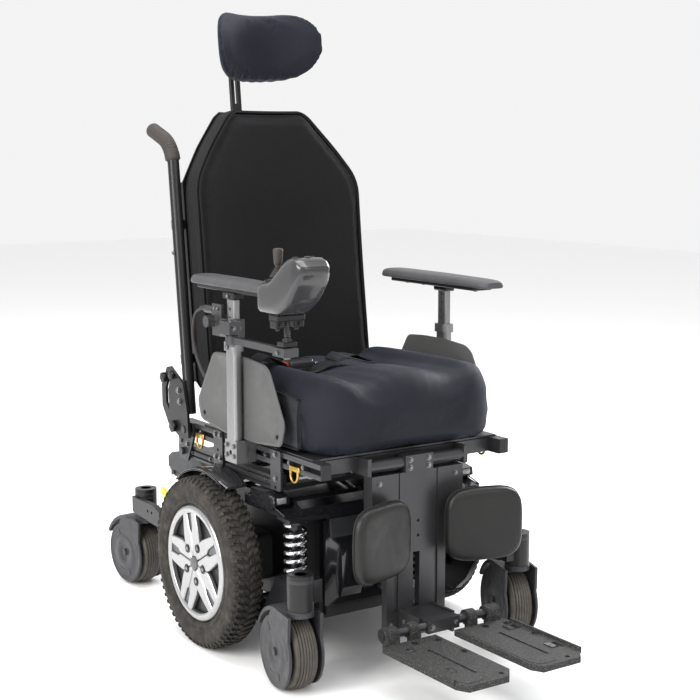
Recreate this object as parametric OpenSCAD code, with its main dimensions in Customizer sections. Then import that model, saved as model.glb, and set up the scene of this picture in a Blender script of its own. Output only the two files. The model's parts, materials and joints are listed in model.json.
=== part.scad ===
// Mid-wheel-drive power wheelchair with power tilt, power recline,
// centre-mounted elevating legrest and a swing-away joystick.
// +Z is up, the chair faces -Y, the occupant's right side is -X.
// The origin is on the floor, midway between the drive-wheel contacts.

/* [Drive wheels] */
// Overall width over the drive tyres
overall_w = 630; // [626:2:640]
// Drive tyre outside radius
wheel_r = 178; // [176:1:180]
// Drive tyre width
tyre_w = 72; // [70:1:72]

/* [Casters] */
// Caster wheel radius
caster_r = 76; // [74:1:76]
// Swivel axis to wheel centre
trail = 40; // [38:1:42]
// Front swivel axis, half spacing across the chair
front_x = 266; // [262:1:268]
// Front swivel axis, distance ahead of the drive axle
front_y = 340; // [338:1:344]
// Rear swivel axis, half spacing across the chair
rear_x = 205; // [204:1:207]
// Rear swivel axis, distance behind the drive axle
rear_y = 440; // [436:1:446]

/* [Seat] */
// Seat frame width over the rails
seat_w = 454; // [452:1:454]
// Front end of the seat rails ahead of the drive axle
rail_front = 351; // [345:1:355]
// Height of the top of the seat rails
rail_top = 438; // [436:1:438]
// Seat cushion half width
cush_w = 222; // [216:1:224]

/* [Back] */
// Backrest recline at rest, degrees
back_a = 6.5; // [5:0.5:8]
// Back shell half width
back_w = 208; // [204:1:209]

/* [Hidden] */
$fn = 48;
mid_x = overall_w/2 - tyre_w/2;      // drive wheel centre plane
pivot_y = 190; pivot_z = 371;        // seat tilt axis
rec_y = 165; rec_z = 423;            // back recline axis
leg_y = -340; leg_z = 418;           // legrest hinge axis
foot_y = -425; foot_z = 112;         // footplate hinge axis
calf_x = 112; calf_y = -366;         // calf pad hinge axis
act_y = 75; act_z = 330;             // tilt actuator base pin
act_a = 11.8; act_len = 342;         // actuator angle above level and pin spacing
arm_py = 70; arm_pz = 104;           // caster arm pivots, ahead of / behind the axle
post_x = 262; post_y = -90;          // armrest post centre
link_y = -125; joy_x = -285; joy_y = -330; // joystick swing link pivots
swivel = [-7, -17, 5, -4];           // resting caster angles FR FL RR RL

// ---- helpers -------------------------------------------------------
module bx(x0,x1,y0,y1,z0,z1) translate([min(x0,x1),min(y0,y1),min(z0,z1)]) cube([abs(x1-x0),abs(y1-y0),abs(z1-z0)]);
module cx(r,x0,x1,y,z) translate([min(x0,x1),y,z]) rotate([0,90,0]) cylinder(r=r,h=abs(x1-x0));
module cz(r,z0,z1,x,y) translate([x,y,z0]) cylinder(r=r,h=z1-z0);
function rr(w,h,r,n=5) = [for (q=[0:3]) for (i=[0:n]) let(a=q*90+i*90/n, sx=(q==0||q==3)?1:-1, sy=(q<2)?1:-1) [sx*(w/2-r)+r*cos(a), sy*(h/2-r)+r*sin(a)]];
module rrz(w,h,r,z0,z1,x=0,y=0) translate([x,y,z0]) linear_extrude(z1-z0) polygon(rr(w,h,r));
// prism along X from a (y,z) outline
module px(x0,x1,pts) translate([min(x0,x1),0,0]) rotate([90,0,90]) linear_extrude(abs(x1-x0)) polygon(pts);
// prism along Y from an (x,z) outline
module py(y0,y1,pts) translate([0,max(y0,y1),0]) rotate([90,0,0]) linear_extrude(abs(y1-y0)) polygon(pts);
function arc(r,a0,a1,n,cx=0,cy=0) = [for (i=[0:n]) let(a=a0+(a1-a0)*i/n) [cx+r*cos(a), cy+r*sin(a)]];
function flip(p,s) = s>0 ? p : [for (i=[len(p)-1:-1:0]) [-p[i][0], p[i][1]]];

// ---- chassis -------------------------------------------------------
module base_frame() color([0.07,0.07,0.08]) {
  difference() {
    union() {
      bx(-150,150,-226,250,92,304);
      bx(-186,186,249,330,282,300);
    }
    bx(-146,146,-222,246,96,300);
    for (s=[-1,1]) bx(s*30,s*84,155,240,299,305);
    for (x=[-90,-30,30,90]) translate([x,-200,0]) cylinder(r=6,h=97);
  }
  for (s=[-1,1]) {
    for (y=[-arm_py,arm_py-10]) cx(8,s*149.5,s*241,y,arm_pz);
    difference() { bx(s*149.5,s*240,-262,-214,308,314); translate([s*213,-238,300]) cylinder(r=5,h=20); }
    bx(s*149.5,s*156,-226,-214,296,308.2);
    bx(s*22,s*28,55,95,303.9,345);
    for (y=[-262,262]) if (y<0) bx(s*60,s*72,-240,-225.9,120,290);
    bx(s*191,s*203.5,255.5,270,187,203);
    bx(s*149,s*203.5,249.9,255.6,150,282.1);
    cx(5,s*188,s*212,262.5,195);
  }
  cx(6,-28,28,act_y,act_z);
  bx(-140,140,-236,-225.9,100,122);
}
module tilt_base() color([0.13,0.13,0.14]) {
  xo = seat_w/2-0.8;
  for (s=[-1,1]) {
    difference() {
      bx(s*203,s*xo,-190,215,357,385);
      for (z=[364.5,377.5]) bx(s*(xo-5),s*(xo+1),-200,220,z-2.2,z+2.2);
      bx(s*209,s*(xo-7),-195,219,362,380);
    }
    cx(8,s*203.2,s*240,pivot_y,pivot_z);
    rrz(36,34,4,304,357.2,s*112,-40);
    rrz(36,34,4,304,357.2,s*112,132);
  }
  for (y=[-182.5,-40,132]) difference() {
    bx(-203.1,203.1,y-(y<-100?7.5:16),y+(y<-100?7.5:16),357,366);
    if (y<-20 && y>-100) bx(-50,50,y-20,y+20,350,370);
  }
}
module power_pack() color([0.16,0.16,0.18]) {
  for (y=[-210,-20]) {
    bx(-130,130,y,y+173,96.2,290);
    for (s=[-1,1]) cz(9,290,297,s*100,y+30);
  }
  bx(-90,90,165,240,200,292);
  for (x=[-60,-20,20,60]) bx(x-14,x+14,172,232,292,296);
}
module drive_motors() color([0.2,0.2,0.21]) for (s=[-1,1]) {
  difference() { rrx(s*150.2,s*208,90,100,14,0,wheel_r); cx(5,s*149,s*152,30,210); }
  cx(30,s*207.9,s*236,0,wheel_r);
  cx(12.5,s*235.9,s*(mid_x+13.5),0,wheel_r);
  translate([s*187.3,44.9,wheel_r]) rotate([-90,0,0]) cylinder(r=36.5,h=130);
  translate([s*187.3,174.8,wheel_r]) rotate([-90,0,0]) cylinder(r=33,h=60);
}
module rrx(x0,x1,w,h,r,y,z) translate([min(x0,x1),y,z]) rotate([90,0,90]) linear_extrude(abs(x1-x0)) polygon(rr(w,h,r));

module base_shroud() color([0.02,0.02,0.025]) {
  difference() {
    px(-201,201,[[-62,300],[-62,342],[-200,342],[-246,322],[-250,262],[-246,124],[-240.2,124],[-236.2,300]]);
    bx(-197,197,-236.1,-50,290,336.5);
    bx(-210,-150.2,-260,-230,100,300); bx(150.2,210,-260,-230,100,300);
    bx(-150.3,150.3,-240,-226,100,301);
    bx(-20,20,-110,-50,330,350);
    for (s=[-1,1]) bx(s*149,s*202,-265,-205,299,314.3);
  }
  for (s=[-1,1]) {
    px(s*200.9,s*241,[[-90,316],[-90,334],[-200,328],[-244,318],[-244,314.3],[-100,314.3]]);
    difference() {
      px(s*212,s*246,[[-122,327],[-122,354],[-177,356],[-214,350],[-216,334],[-202,324],[-152,322]]);
      bx(s*217,s*241,-240,-210,335,349);
    }
    px(s*70,s*118,[[-244,140],[-244,250],[-258,236],[-262,160],[-254,140]]);
  }
  px(-24,24,[[-244,140],[-244,262],[-262,248],[-268,160],[-256,140]]);
}
module rear_cover() color([0.1,0.1,0.11]) {
  difference() {
    px(-196,196,[[160,306],[160,326],[190,343],[320,340],[338,328],[338,304],[331,304],[331,300.2],[160,300.2]]);
    bx(-191,191,155,331.2,299,333);
    bx(-191,191,230,331.2,299,333);
    for (s=[-1,1]) translate([s*150,210,330]) cylinder(r=4,h=20);
    bx(-136,136,150,170,290,345);
  }
}
module fenders() color([0.15,0.15,0.16]) for (s=[-1,1]) {
  px(s*238,s*290,concat(arc(193,52,117,18,0,wheel_r),arc(190,117,52,18,0,wheel_r)));
  px(s*234,s*238.1,concat(arc(193,62,118,14,0,wheel_r),[[-40,332],[40,332]]));
  bx(s*146,s*234.1,-14,14,332,337);
  bx(s*146,s*149.8,-14,14,304.1,332.1);
}
module lamps() {
  for (s=[-1,1]) {
    color([0.9,0.9,0.95]) bx(s*217.3,s*240.7,-213,-210.1,335.3,348.7);
    color([0.9,0.3,0.1]) bx(s*150,s*192,330.1,338,284,298);
  }
}
module lever(s) color([0.9,0.75,0.05]) difference() {
  px(s*204,s*210,[[254,184],[270,186],[352,243],[350,255],[340,255],[256,206]]);
  cx(5.05,s*200,s*212,262.5,195);
}

// ---- drive wheels --------------------------------------------------
module at_wheel(s) translate([s*mid_x,0,wheel_r]) rotate([0,s*90,0]) children();
module drive_tyre(s) color([0.06,0.06,0.06]) at_wheel(s) let(t=tyre_w/2, R=wheel_r)
  rotate_extrude($fn=72) polygon([[124,-24],[129,-t+5],[138,-t+0.8],[150,-t],[162,-t+1],[R-8,-t+5],[R-2,-t+14],[R,-t+26],
    [R,t-26],[R-2,t-14],[R-8,t-5],[162,t-1],[150,t],[138,t-0.8],[129,t-5],[124,24]]);
module drive_rim(s) color([0.45,0.45,0.46]) at_wheel(s) {
  difference() {
    rotate_extrude($fn=72) polygon([[0,-26],[32,-26],[36,2],[116,2],[118,-22],[123.8,-22],[123.8,22],[118,22],[116,10],[48,10],[48,16],[0,16]]);
    translate([0,0,-30]) cylinder(r=12.55,h=45);
    for (k=[0:4]) rotate([0,0,k*72]) translate([76,0,0]) cylinder(r=14,h=30,center=true);
  }
  for (k=[0:4]) rotate([0,0,k*72+36]) translate([38,0,15.9]) cylinder(r=6,h=9,$fn=6);
}
module hubcap(s) color([0.78,0.78,0.8]) at_wheel(s) difference() {
  union() {
    translate([0,0,26]) cylinder(r=118.5,h=6,$fn=72);
    translate([0,0,16.3]) cylinder(r=52,h=10);
    translate([0,0,31.9]) cylinder(r=19,h=2);
  }
  for (k=[0:4]) {
    rotate([0,0,k*72+36]) translate([38,0,10]) cylinder(r=9,h=30);
    rotate([0,0,k*72]) translate([0,0,20]) linear_extrude(20) polygon([[56,-8],[56,8],[98,34],[106,20],[108,0],[106,-20],[98,-34]]);
  }
}

// ---- caster arms, springs, casters --------------------------------
module front_arm(s) color([0.05,0.05,0.055]) difference() {
  union() {
    px(s*226,s*240,[[-46,92],[-58,84],[-110,82],[-185,78],[-221,110],[-258,168],[-330,176],[-330,222],[-275,222],[-268,190],[-208,190],[-166,126],[-58,124],[-46,114]]);
    bx(s*226,s*front_x,-front_y-14,-front_y+14,178,222);
    cz(25.5,166,234,s*front_x,-front_y);
    cz(27,184,190,s*213,-238);
    bx(s*205,s*226.1,-250,-226,176,184.1);
  }
  cz(12.05,160,228,s*front_x,-front_y);
  cx(8.05,s*220,s*245,-arm_py,arm_pz);
  for (z=[190,210]) cx(3.2,s*220,s*245,-296,z);
}
module rear_arm(s) color([0.05,0.05,0.055]) difference() {
  union() {
    px(s*226,s*240,[[36,92],[46,84],[160,84],[300,172],[rear_y,182],[rear_y,218],[330,218],[250,190],[178,126],[46,124],[36,114]]);
    cz(25.5,166,234,s*rear_x,rear_y);
    bx(s*rear_x,s*238,rear_y-40,rear_y+6,182,218);
  }
  cz(12.05,160,228,s*rear_x,rear_y);
  cx(8.05,s*220,s*245,arm_py-10,arm_pz);
  for (y=[340,360]) cx(3.2,s*220,s*245,y,200);
}
module front_spring(s) color([0.8,0.8,0.82]) translate([s*213,-238,0]) {
  // upper and lower seats on the damper rod, and the coil's turns
  cz(24,190.4,194,0,0);
  cz(24,303.6,307.6,0,0);
  cz(7,193.9,303.7,0,0);
  for (k=[0:4]) translate([0,0,203+k*23]) rotate([9,0,0]) rotate_extrude() translate([20,0]) circle(r=4.4,$fn=20);
}
module at_fork(x,y,a) translate([x,y,0]) rotate([0,0,a]) children();
module fork(x,y,a) color([0.2,0.2,0.21]) at_fork(x,y,a) {
  difference() {
    union() {
      cz(12,165,225,0,0);
      cz(24,154,165.6,0,0);
      px(-37,37,[[-22,154],[-22,162],[-14,165.6],[34,165.6],[66,160],[70,154]]);
      for (s=[-1,1]) intersection() { cx(71,s*31,s*37,trail,caster_r); bx(s*30,s*38,-40,120,0,160); }
    }
    for (s=[-1,1]) cx(9,s*35,s*40,trail+26,caster_r+22);
  }
  for (s=[-1,1]) px(s*31,s*37,[[-22,154.1],[40,154.1],[60,134],[20,125],[-20,110]]);
  cx(6,-31.1,31.1,trail,caster_r);
}
module caster(x,y,a) at_fork(x,y,a) translate([0,trail,caster_r]) rotate([0,90,0]) {
  color([0.25,0.24,0.22]) let(R=caster_r) rotate_extrude($fn=64) polygon([[48,-18],[54,-22],[64,-24],[R-5,-20],[R-1,-12],[R,-4],[R,4],[R-1,12],[R-5,20],[64,24],[54,22],[48,18]]);
  color([0.2,0.2,0.22]) rotate_extrude($fn=64) polygon([[6.05,-24],[14,-24],[18,-8],[42,-8],[43,-17],[47.8,-17],[47.8,17],[43,17],[42,8],[18,8],[14,24],[6.05,24]]);
}

// ---- tilt actuator -------------------------------------------------
module at_act() translate([0,act_y,act_z]) rotate([-act_a,0,0]) rotate([90,0,0]) children();
module tilt_actuator() color([0.5,0.5,0.52]) at_act() difference() {
  union() {
    cylinder(r=20,h=130);
    translate([-12,-12,-12]) cube([24,24,30]);
    translate([18,-8,36]) cube([26,26,84]);
  }
  rotate([0,90,0]) cylinder(r=6.05,h=60,center=true);
  difference() { translate([-30,-30,-40]) cube([60,60,57]); translate([-12,-12,-12]) cube([24,24,30]); }
  translate([0,0,24]) cylinder(r=10.05,h=200);
}
module tilt_actuator_rod() color([0.8,0.8,0.82]) at_act() {
  translate([0,0,26]) cylinder(r=10,h=act_len-34);
  difference() { translate([-8,-12,act_len-12]) cube([16,24,24]); translate([0,0,act_len]) rotate([0,90,0]) cylinder(r=6,h=40,center=true); }
}

// ---- seat ----------------------------------------------------------
module seat_frame() color([0.16,0.16,0.17]) {
  xo = seat_w/2; zt = rail_top; zb = rail_top-30;
  for (s=[-1,1]) {
    difference() {
      bx(s*203,s*xo,-rail_front,205,zb,zt);
      bx(s*(xo-6),s*(xo+1),-360,210,zb+10,zb+20);
      bx(s*(xo-15),s*(xo-5),-360,210,zb+6,zb+24);
      bx(s*207,s*(xo-17),-360,210,zb+4,zb+26);
    }
    // plates that tie the rail to the tilt rail
    difference() { rrx(s*xo,s*(xo+5),38,80,6,36,400); for (z=[366,384,432]) for (y=[26,46]) cx(3.5,s*xo-1,s*(xo+6),y,z); cx(3.5,s*220,s*240,36,400); }
    difference() { rrx(s*xo,s*(xo+5),38,80,6,-196,400); for (z=[366,384,432]) cx(3.5,s*220,s*240,-196,z); }
    difference() { px(s*xo,s*(xo+5),[[145,438],[145,405],[172,352],[208,352],[214,371],[214,400],[185,438]]); cx(8.05,s*220,s*240,pivot_y,pivot_z); }
    cx(8,s*(xo-0.1),s*247,rec_y,rec_z);
    bx(s*112,s*120,-352,-299,402,zt-2);
    // actuator clevis, with short stub pins
    bx(s*16,s*22,-275,-245,388,zb+0.1);
    cx(5,s*10,s*16.1,-260,400);
  }
  difference() { for (y=[-308,-260,-60,90]) bx(-203.1,203.1,y-9,y+9,zb,zt-2); bx(-13,13,-290,-230,400,432); }
  difference() { bx(-222,222,-318,112,zt,zt+3.5); for (x=[-150:50:150]) for (y=[-250,-200,-150,-100]) cz(8,zt-4,zt+4,x,y); }
  cx(12,-120,120,leg_y,leg_z);
}
function cush_top(x) = let(a=abs(x)) lookup(a,[[0,586],[40,576],[75,565],[110,562],[135,571],[165,594],[190,605],[208,596],[222,566]]);
module seat_cushion() color([0.09,0.10,0.13]) let(z0=rail_top+4, w=cush_w) intersection() {
  py(-362,84,concat([[w,z0+12],[w,z0+100]],[for (x=[210:-10:-210]) [x,cush_top(x)+4]],[[-w,z0+100],[-w,z0+12],[-w+10,z0],[w-10,z0]]));
  translate([0,-138,z0-5]) linear_extrude(200) polygon(rr(2*w,444,70,7));
  px(-w-5,w+5,[[-346,z0-1],[-358,z0+16],[-360,z0+60],[-352,z0+120],[-325,z0+155],[-250,z0+175],[90,z0+150],[90,z0-1]]);
}
guard_pts = [[20,610],[-40,614],[-113,614],[-184,608],[-203,598],[-259,500],[-245,456],[-154,448],[-29,448],[77,462],[90,501]];
module side_guards() color([0.2,0.2,0.21]) for (s=[-1,1]) {
  px(s*245,s*250,guard_pts);
  for (z=[480,560]) bx(s*249.9,s*252,-100,-80,z,z+20);
  bx(s*226.8,s*245.1,-30,-10,449,460);
  bx(s*226.8,s*232,-30,-10,437.9,449.1);
}
module arm_receivers() color([0.5,0.5,0.52]) for (s=[-1,1]) {
  difference() {
    union() {
      rrz(20,36,7,446.9,630,s*post_x,post_y);
      rrz(28,42,9,626,644,s*post_x,post_y);
      bx(s*(seat_w/2+0.1),s*272,post_y-24,post_y+22,402,447);
    }
    rrz(15,31,5,440,650,s*post_x,post_y);
    cx(5,s*225,s*275,post_y,422);
  }
}
module lap_belt() color([0.05,0.05,0.055]) {
  // webbing over the cushion, and the buckle that it carries
  difference() {
    union() {
      py(-110,-62,concat([for (x=[-218:6:160]) [x,cush_top(x)+9.3]],[for (x=[160:-6:-218]) [x,cush_top(x)+5.6]]));
      py(-105,-67,[[-140,584],[-137,597],[-84,593],[-78,586],[-80,577]]);
    }
    bx(-150,-124.5,-97.3,-74.7,582.4,591.4);
  }
}
module buckle_button() color([0.75,0.08,0.06]) bx(-143,-129.5,-97,-75,583,591);

// ---- armrests ------------------------------------------------------
module arm_post(s) let(d=s<0?12:0) color([0.45,0.45,0.47]) difference() {
  rrz(14.6,30.6,4.8,470,727+d,s*post_x,post_y);
  for (z=[655:18:720]) cx(3.3,s*250,s*275,post_y,z);
  rrz(9,24,3,465,640,s*post_x,post_y);
}
module arm_pad(s) color([0.3,0.3,0.31]) translate([0,0,s<0?12:0]) {
  rrz(65,s<0?352:375,14,736,757,s*244,s<0?-95:-97.5);
  bx(s*226,s*270,-238,42,727,736);
}
module joystick_bracket() color([0.5,0.5,0.52]) {
  difference() {
    union() {
      bx(-280,-249,-112,-66,654,690);
      bx(-299,-274,-140,-100,664,690);
      bx(-276,-270,-66.1,-28,652,716);
      cx(12,-292,-256,-30,680);
      bx(-268,-256,-66.1,-40,668,692);
    }
    rrz(14.8,30.8,4.8,650,700,-post_x,post_y);
  }
  cz(5,640,664.1,joy_x,link_y);
  // strain relief for the cable
  translate([-263,-18.1,700]) rotate([-90,0,0]) cylinder(r=9,h=34);
  bx(-271,-255,-30,-18,690,710);
}
module joystick_link() color([0.55,0.55,0.57]) difference() {
  union() {
    cz(13,644.5,662,joy_x,link_y);
    cz(13,644.5,662,joy_x,joy_y);
    bx(joy_x-6,joy_x+6,joy_y,link_y,647,660);
    bx(joy_x-16,joy_x+16,joy_y-14,joy_y+26,645,661.5);
  }
  cz(5.05,640,670,joy_x,link_y);
  cz(6.05,640,670,joy_x,joy_y);
}
module joystick_pod() color([0.35,0.35,0.36]) {
  difference() {
    px(joy_x-38,joy_x+38,[[-279,722],[-350,722],[-384,742],[-424,792],[-430,812],[-424,826],[-398,834],[-372,826],[-322,786],[-279,778]]);
    translate([joy_x,-300,766]) cylinder(r=17,h=40);
    translate([joy_x,-352,812]) rotate([38,0,0]) translate([0,0,-6]) cylinder(r=7.5,h=30);
  }
  cz(6,641,722.1,joy_x,joy_y);
  for (s=[-1,1]) cx(2,joy_x+s*9.7,joy_x+s*17.2,-300,778);
  for (s=[-1,1]) bx(joy_x+s*10,joy_x+s*30,joy_y-12,joy_y+12,700,714);
  bx(joy_x-30,joy_x+30,joy_y-16,joy_y+16,714,722.1);
  bx(joy_x-14,joy_x+14,joy_y-10,joy_y+10,664,672);
}
// gimbal ring and bellows under the stick
module joystick_boot() color([0.08,0.08,0.09]) translate([joy_x,-300,0]) { translate([0,-11,778]) rotate([-90,0,0]) cylinder(r=1.5,h=22); difference() {
  union() { cz(14,774,782,0,0); cz(12.5,781.9,787,0,0); }
  cz(9.5,770,790,0,0);
  cx(2.05,-20,20,0,778);
} }
module joystick_stick() color([0.12,0.12,0.13]) translate([joy_x,-300,0]) {
  difference() { cz(5,772,794,0,0); translate([0,-11,778]) rotate([-90,0,0]) cylinder(r=1.55,h=22); }
  translate([0,0,793.5]) cylinder(r1=18,r2=13,h=7);
  translate([0,0,800.4]) cylinder(r1=13,r2=8,h=7);
  translate([0,0,807.3]) cylinder(r1=7,r2=9.5,h=34);
}
module power_button() color([0.1,0.35,0.15]) translate([joy_x,-352,812]) rotate([38,0,0]) translate([0,0,-4]) cylinder(r=7.2,h=9);
cable_pts = [[-263,16,700],[-262,44,697],[-258,76,684],[-252,98,660],[-248,108,630],[-245,104,600],[-242,92,572],[-240,70,548],[-239,42,530],[-239,12,520]];
module joystick_cable() color([0.3,0.3,0.3]) let(r=3.5,m=8,n=40,P=cable_pts,L=len(P)-1,
  pt=function(t) let(i=min(floor(t*L),L-1),f=t*L-i,a=P[max(i-1,0)],b=P[i],c=P[i+1],d=P[min(i+2,L)])
    0.5*((2*b)+(c-a)*f+(2*a-5*b+4*c-d)*f*f+(3*b-a-3*c+d)*f*f*f),
  C=[for (i=[0:n]) pt(i/n)],
  T=[for (i=[0:n]) let(v=C[min(i+1,n)]-C[max(i-1,0)]) v/norm(v)])
  polyhedron(points=[for (i=[0:n]) let(t=i==0?[0,1,0]:T[i], u=let(w=cross(t,[1,0,0])) w/norm(w), v=cross(t,u)) for (k=[0:m-1]) C[i]+r*(u*cos(360*k/m)+v*sin(360*k/m))],
    faces=concat([[for (k=[m-1:-1:0]) k]],[[for (k=[0:m-1]) n*m+k]],
     [for (i=[0:n-1]) for (k=[0:m-1]) [i*m+k,i*m+(k+1)%m,(i+1)*m+(k+1)%m,(i+1)*m+k]]));

// ---- back ----------------------------------------------------------
module at_back() translate([0,rec_y,rec_z]) rotate([-back_a,0,0]) children();
function sag(x,y0,d) = y0 + d*(1-(x/back_w)*(x/back_w));
module bow(y0,y1,z0,z1,w,d0,d1,n=20) translate([0,0,z0]) linear_extrude(z1-z0)
  polygon(concat([for (i=[0:n]) let(x=-w+2*w*i/n) [x,sag(x,y0,d0)]],[for (i=[n:-1:0]) let(x=-w+2*w*i/n) [x,sag(x,y1,d1)]]));
module coffin(w,g=0) py(-200,200,[[-w+12,85-g],[w-12,85-g],[w,100],[w,530],[w-50,606],[104,674],[88,686+g],[-88,686+g],[-104,674],[-w+50,606],[-w,530],[-w,100]]);
module back_frame() color([0.06,0.06,0.065]) at_back() {
  for (s=[-1,1]) {
    difference() { px(s*239,s*245,[[-20,-18],[16,-20],[70,10],[94,50],[90,96],[60,134],[44,136],[-10,100],[-22,40]]);
      cx(8.05,s*230,s*250,0,0);
      px(s*238,s*246,[[62,40],[74,56],[72,90],[52,116],[46,110],[60,86],[60,60]]);
      for (p=[[8,60],[10,84],[40,6]]) cx(4,s*238,s*246,p[0],p[1]); }
    cz(12.5,32,s<0?566:508,s*225,0);
    bx(s*224,s*239.1,-9,9,36,60); bx(s*224,s*239.1,-9,9,84,106);
    if (s<0) translate([s*225,0,566]) rotate([0,0,-90]) translate([-70,0,0]) rotate([90,0,0]) rotate_extrude(angle=60,$fn=48) translate([70,0]) circle(r=12.5,$fn=24);
    bx(s*208.1,s*226,11,16,140,160); bx(s*208.1,s*226,11,16,430,450);
    bx(s*218,s*232,4,16,140,160); bx(s*218,s*232,4,16,430,450);
  }
}
module push_grip() color([0.14,0.12,0.11]) at_back() for (s=[-1]) translate([s*225,0,566]) rotate([0,0,-90]) translate([-70,0,0]) rotate([90,0,0]) {
  difference() {
    rotate([0,0,8]) rotate_extrude(angle=56,$fn=48) translate([70,0]) circle(r=16.5,$fn=24);
    rotate_extrude(angle=60,$fn=48) translate([70,0]) circle(r=12.6,$fn=24);
  }
  rotate([0,0,64]) translate([70,0,0]) rotate([-90,0,0]) { cylinder(r=16.5,h=52); translate([0,0,51.9]) cylinder(r1=16.5,r2=11,h=5); }
}
module back_shell() color([0.05,0.05,0.055]) at_back() {
  difference() {
    intersection() { bow(-4,0,85,686,back_w,44,44); coffin(back_w); }
    for (s=[-1,1]) for (z=[170:60:470]) translate([s*186,0,z]) rotate([90,0,0]) cylinder(r=4,h=80,center=true);
  }
  for (s=[-1,1]) difference() {
    bx(s*(back_w-4),s*back_w,-0.2,34,100,530);
    for (z=[130:57:500]) cx(4.5,s*200,s*212,24,z);
  }
  difference() {
    union() { bx(-22,22,39.6,128,655,686); bx(-34,34,38.8,44,630,690); }
    bx(-12.2,12.2,104,114.4,640,700);
    bx(-12,12,60,90,650,700);
  }
}
module back_cushion() color([0.03,0.03,0.035]) at_back() intersection() { bow(-77,-4.5,85,688,back_w,20,43); coffin(back_w,0); }
module headrest_bar() color([0.06,0.06,0.065]) at_back() {
  difference() {
    bx(-12,12,104.2,114.2,470,838);
    for (z=[500:30:640]) translate([0,90,z]) rotate([-90,0,0]) cylinder(r=3.5,h=40);
    bx(-4,4,100,120,716,790);
  }
  difference() { bx(-10.4,10.4,52,104.3,815,835); bx(-12,12,70,96,820,830); }
  cx(5,-16.5,16.5,60,825);
}
module headrest_pad() color([0.05,0.055,0.07]) at_back() {
  intersection() {
    translate([0,-50,747]) linear_extrude(156) polygon(concat(
      [for (i=[0:16]) let(x=-133+266*i/16) [x, 34-73*pow(abs(x)/133,2.2)]],
      [for (i=[16:-1:0]) let(x=-133+266*i/16) [x, 91-101*pow(abs(x)/133,2.2)]]));
    py(-200,200,concat(arc(62,0,90,6,71,841),arc(40,90,180,5,-93,863),arc(40,180,270,5,-93,787),arc(62,270,360,6,71,809)));
  }
  for (s=[-1,1]) difference() { bx(s*11,s*16,40,68,813,837); cx(5.05,s*9,s*18,60,825); }
}

// ---- legrest -------------------------------------------------------
module legrest_carrier() color([0.16,0.16,0.17]) {
  difference() {
    union() {
      bx(-110,110,-351,-323,244,400);
      bx(-33,33,-355,-325,399.9,433);
    }
    bx(-73,73,-346.5,-329.5,240,395);
    cx(12.05,-40,40,leg_y,leg_z);
    for (x=[-46,46]) bx(x-1.5,x+1.5,-352,-349,244,400);
    for (z=[300,270]) translate([0,-340,z]) rotate([90,0,0]) cylinder(r=3,h=20);
  }
  for (s=[-1,1]) {
    for (z=[284,318]) bx(s*100,s*124,calf_y-14,-350.9,z,z+8);
    cz(5,284.1,325.9,s*calf_x,calf_y);
  }
}
module legrest_slide() color([0.16,0.16,0.17]) {
  difference() {
    bx(-72,72,-346,-330,76,392);
    bx(-8,8,-350,-325,124,236);
    for (s=[-1,1]) bx(s*44,s*52,-347,-343,120,243);
  }
  bx(-38,38,-414.1,-345.9,96,122);
  difference() { bx(-38,38,-437,-414,100,124); }
  cx(9,-142,-37.9,foot_y,foot_z); cx(9,37.9,142,foot_y,foot_z);
  for (s=[-1,1]) difference() { bx(s*37.5,s*43,-414,-345.5,84,126); for (y=[-396,-366]) cx(4,s*40,s*46,y,106); }
}
module footplate(s) color([0.14,0.13,0.13]) {
  difference() {
    translate([s*85.5,-562.5,86]) linear_extrude(12) polygon([[-62.5,122.5],[-62.5,-100],[-50,-122.5],[40,-122.5],[62.5,-96],[62.5,122.5]]);
    for (p=[[-48,96],[0,104],[48,96],[52,20],[-52,20],[50,-60],[-36,-104],[20,-108]]) cz(5,80,100,s*(85.5+p[0]),-562.5+p[1]);
    bx(s*82,s*89,-640,-500,95,99);
    for (y=[-490,-610]) bx(s*125,s*140,y-12,y+12,84,99);
  }
  for (x=[[60,80],[108,138]]) difference() {
    union() { cx(15,s*x[0],s*x[1],foot_y,foot_z); bx(s*x[0],s*x[1],-441,foot_y,86,foot_z); }
    cx(9.05,s*x[0]-s*2,s*x[1]+s*2,foot_y,foot_z);
  }
  bx(s*146,s*150.5,-660,-460,92,104);
}
module calf_pad(s) color([0.32,0.32,0.32]) {
  translate([s*123,-404,287]) rotate([0,0,-s*17]) rotate([90,0,0]) translate([0,0,-14]) linear_extrude(28) polygon(rr(165,150,34,7));
  difference() {
    union() { cz(11,293,317,s*calf_x,calf_y); bx(s*(calf_x-7),s*(calf_x+7),-390,calf_y,293,317); }
    cz(5.05,280,330,s*calf_x,calf_y);
  }
}

// ---- build ---------------------------------------------------------
base_frame();
tilt_base();
power_pack();
drive_motors();
union() { base_shroud(); fenders(); }
rear_cover();
lamps();
lever(-1);  // freewheel_lever_right
lever(1);  // freewheel_lever_left
drive_tyre(-1);  // drive_tyre_right
drive_rim(-1);  // drive_rim_right
hubcap(-1);  // hubcap_right
drive_tyre(1);  // drive_tyre_left
drive_rim(1);  // drive_rim_left
hubcap(1);  // hubcap_left
front_arm(-1);  // front_arm_right
front_arm(1);  // front_arm_left
rear_arm(-1);  // rear_arm_right
rear_arm(1);  // rear_arm_left
front_spring(-1);  // front_spring_right
front_spring(1);  // front_spring_left
fork(-front_x,-front_y,swivel[0]);  // fork_front_right
fork(front_x,-front_y,swivel[1]);  // fork_front_left
fork(-rear_x,rear_y,swivel[2]);  // fork_rear_right
fork(rear_x,rear_y,swivel[3]);  // fork_rear_left
caster(-front_x,-front_y,swivel[0]);  // caster_front_right
caster(front_x,-front_y,swivel[1]);  // caster_front_left
caster(-rear_x,rear_y,swivel[2]);  // caster_rear_right
caster(rear_x,rear_y,swivel[3]);  // caster_rear_left
tilt_actuator();
tilt_actuator_rod();
seat_frame();
seat_cushion();
side_guards();
arm_receivers();
lap_belt();
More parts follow.
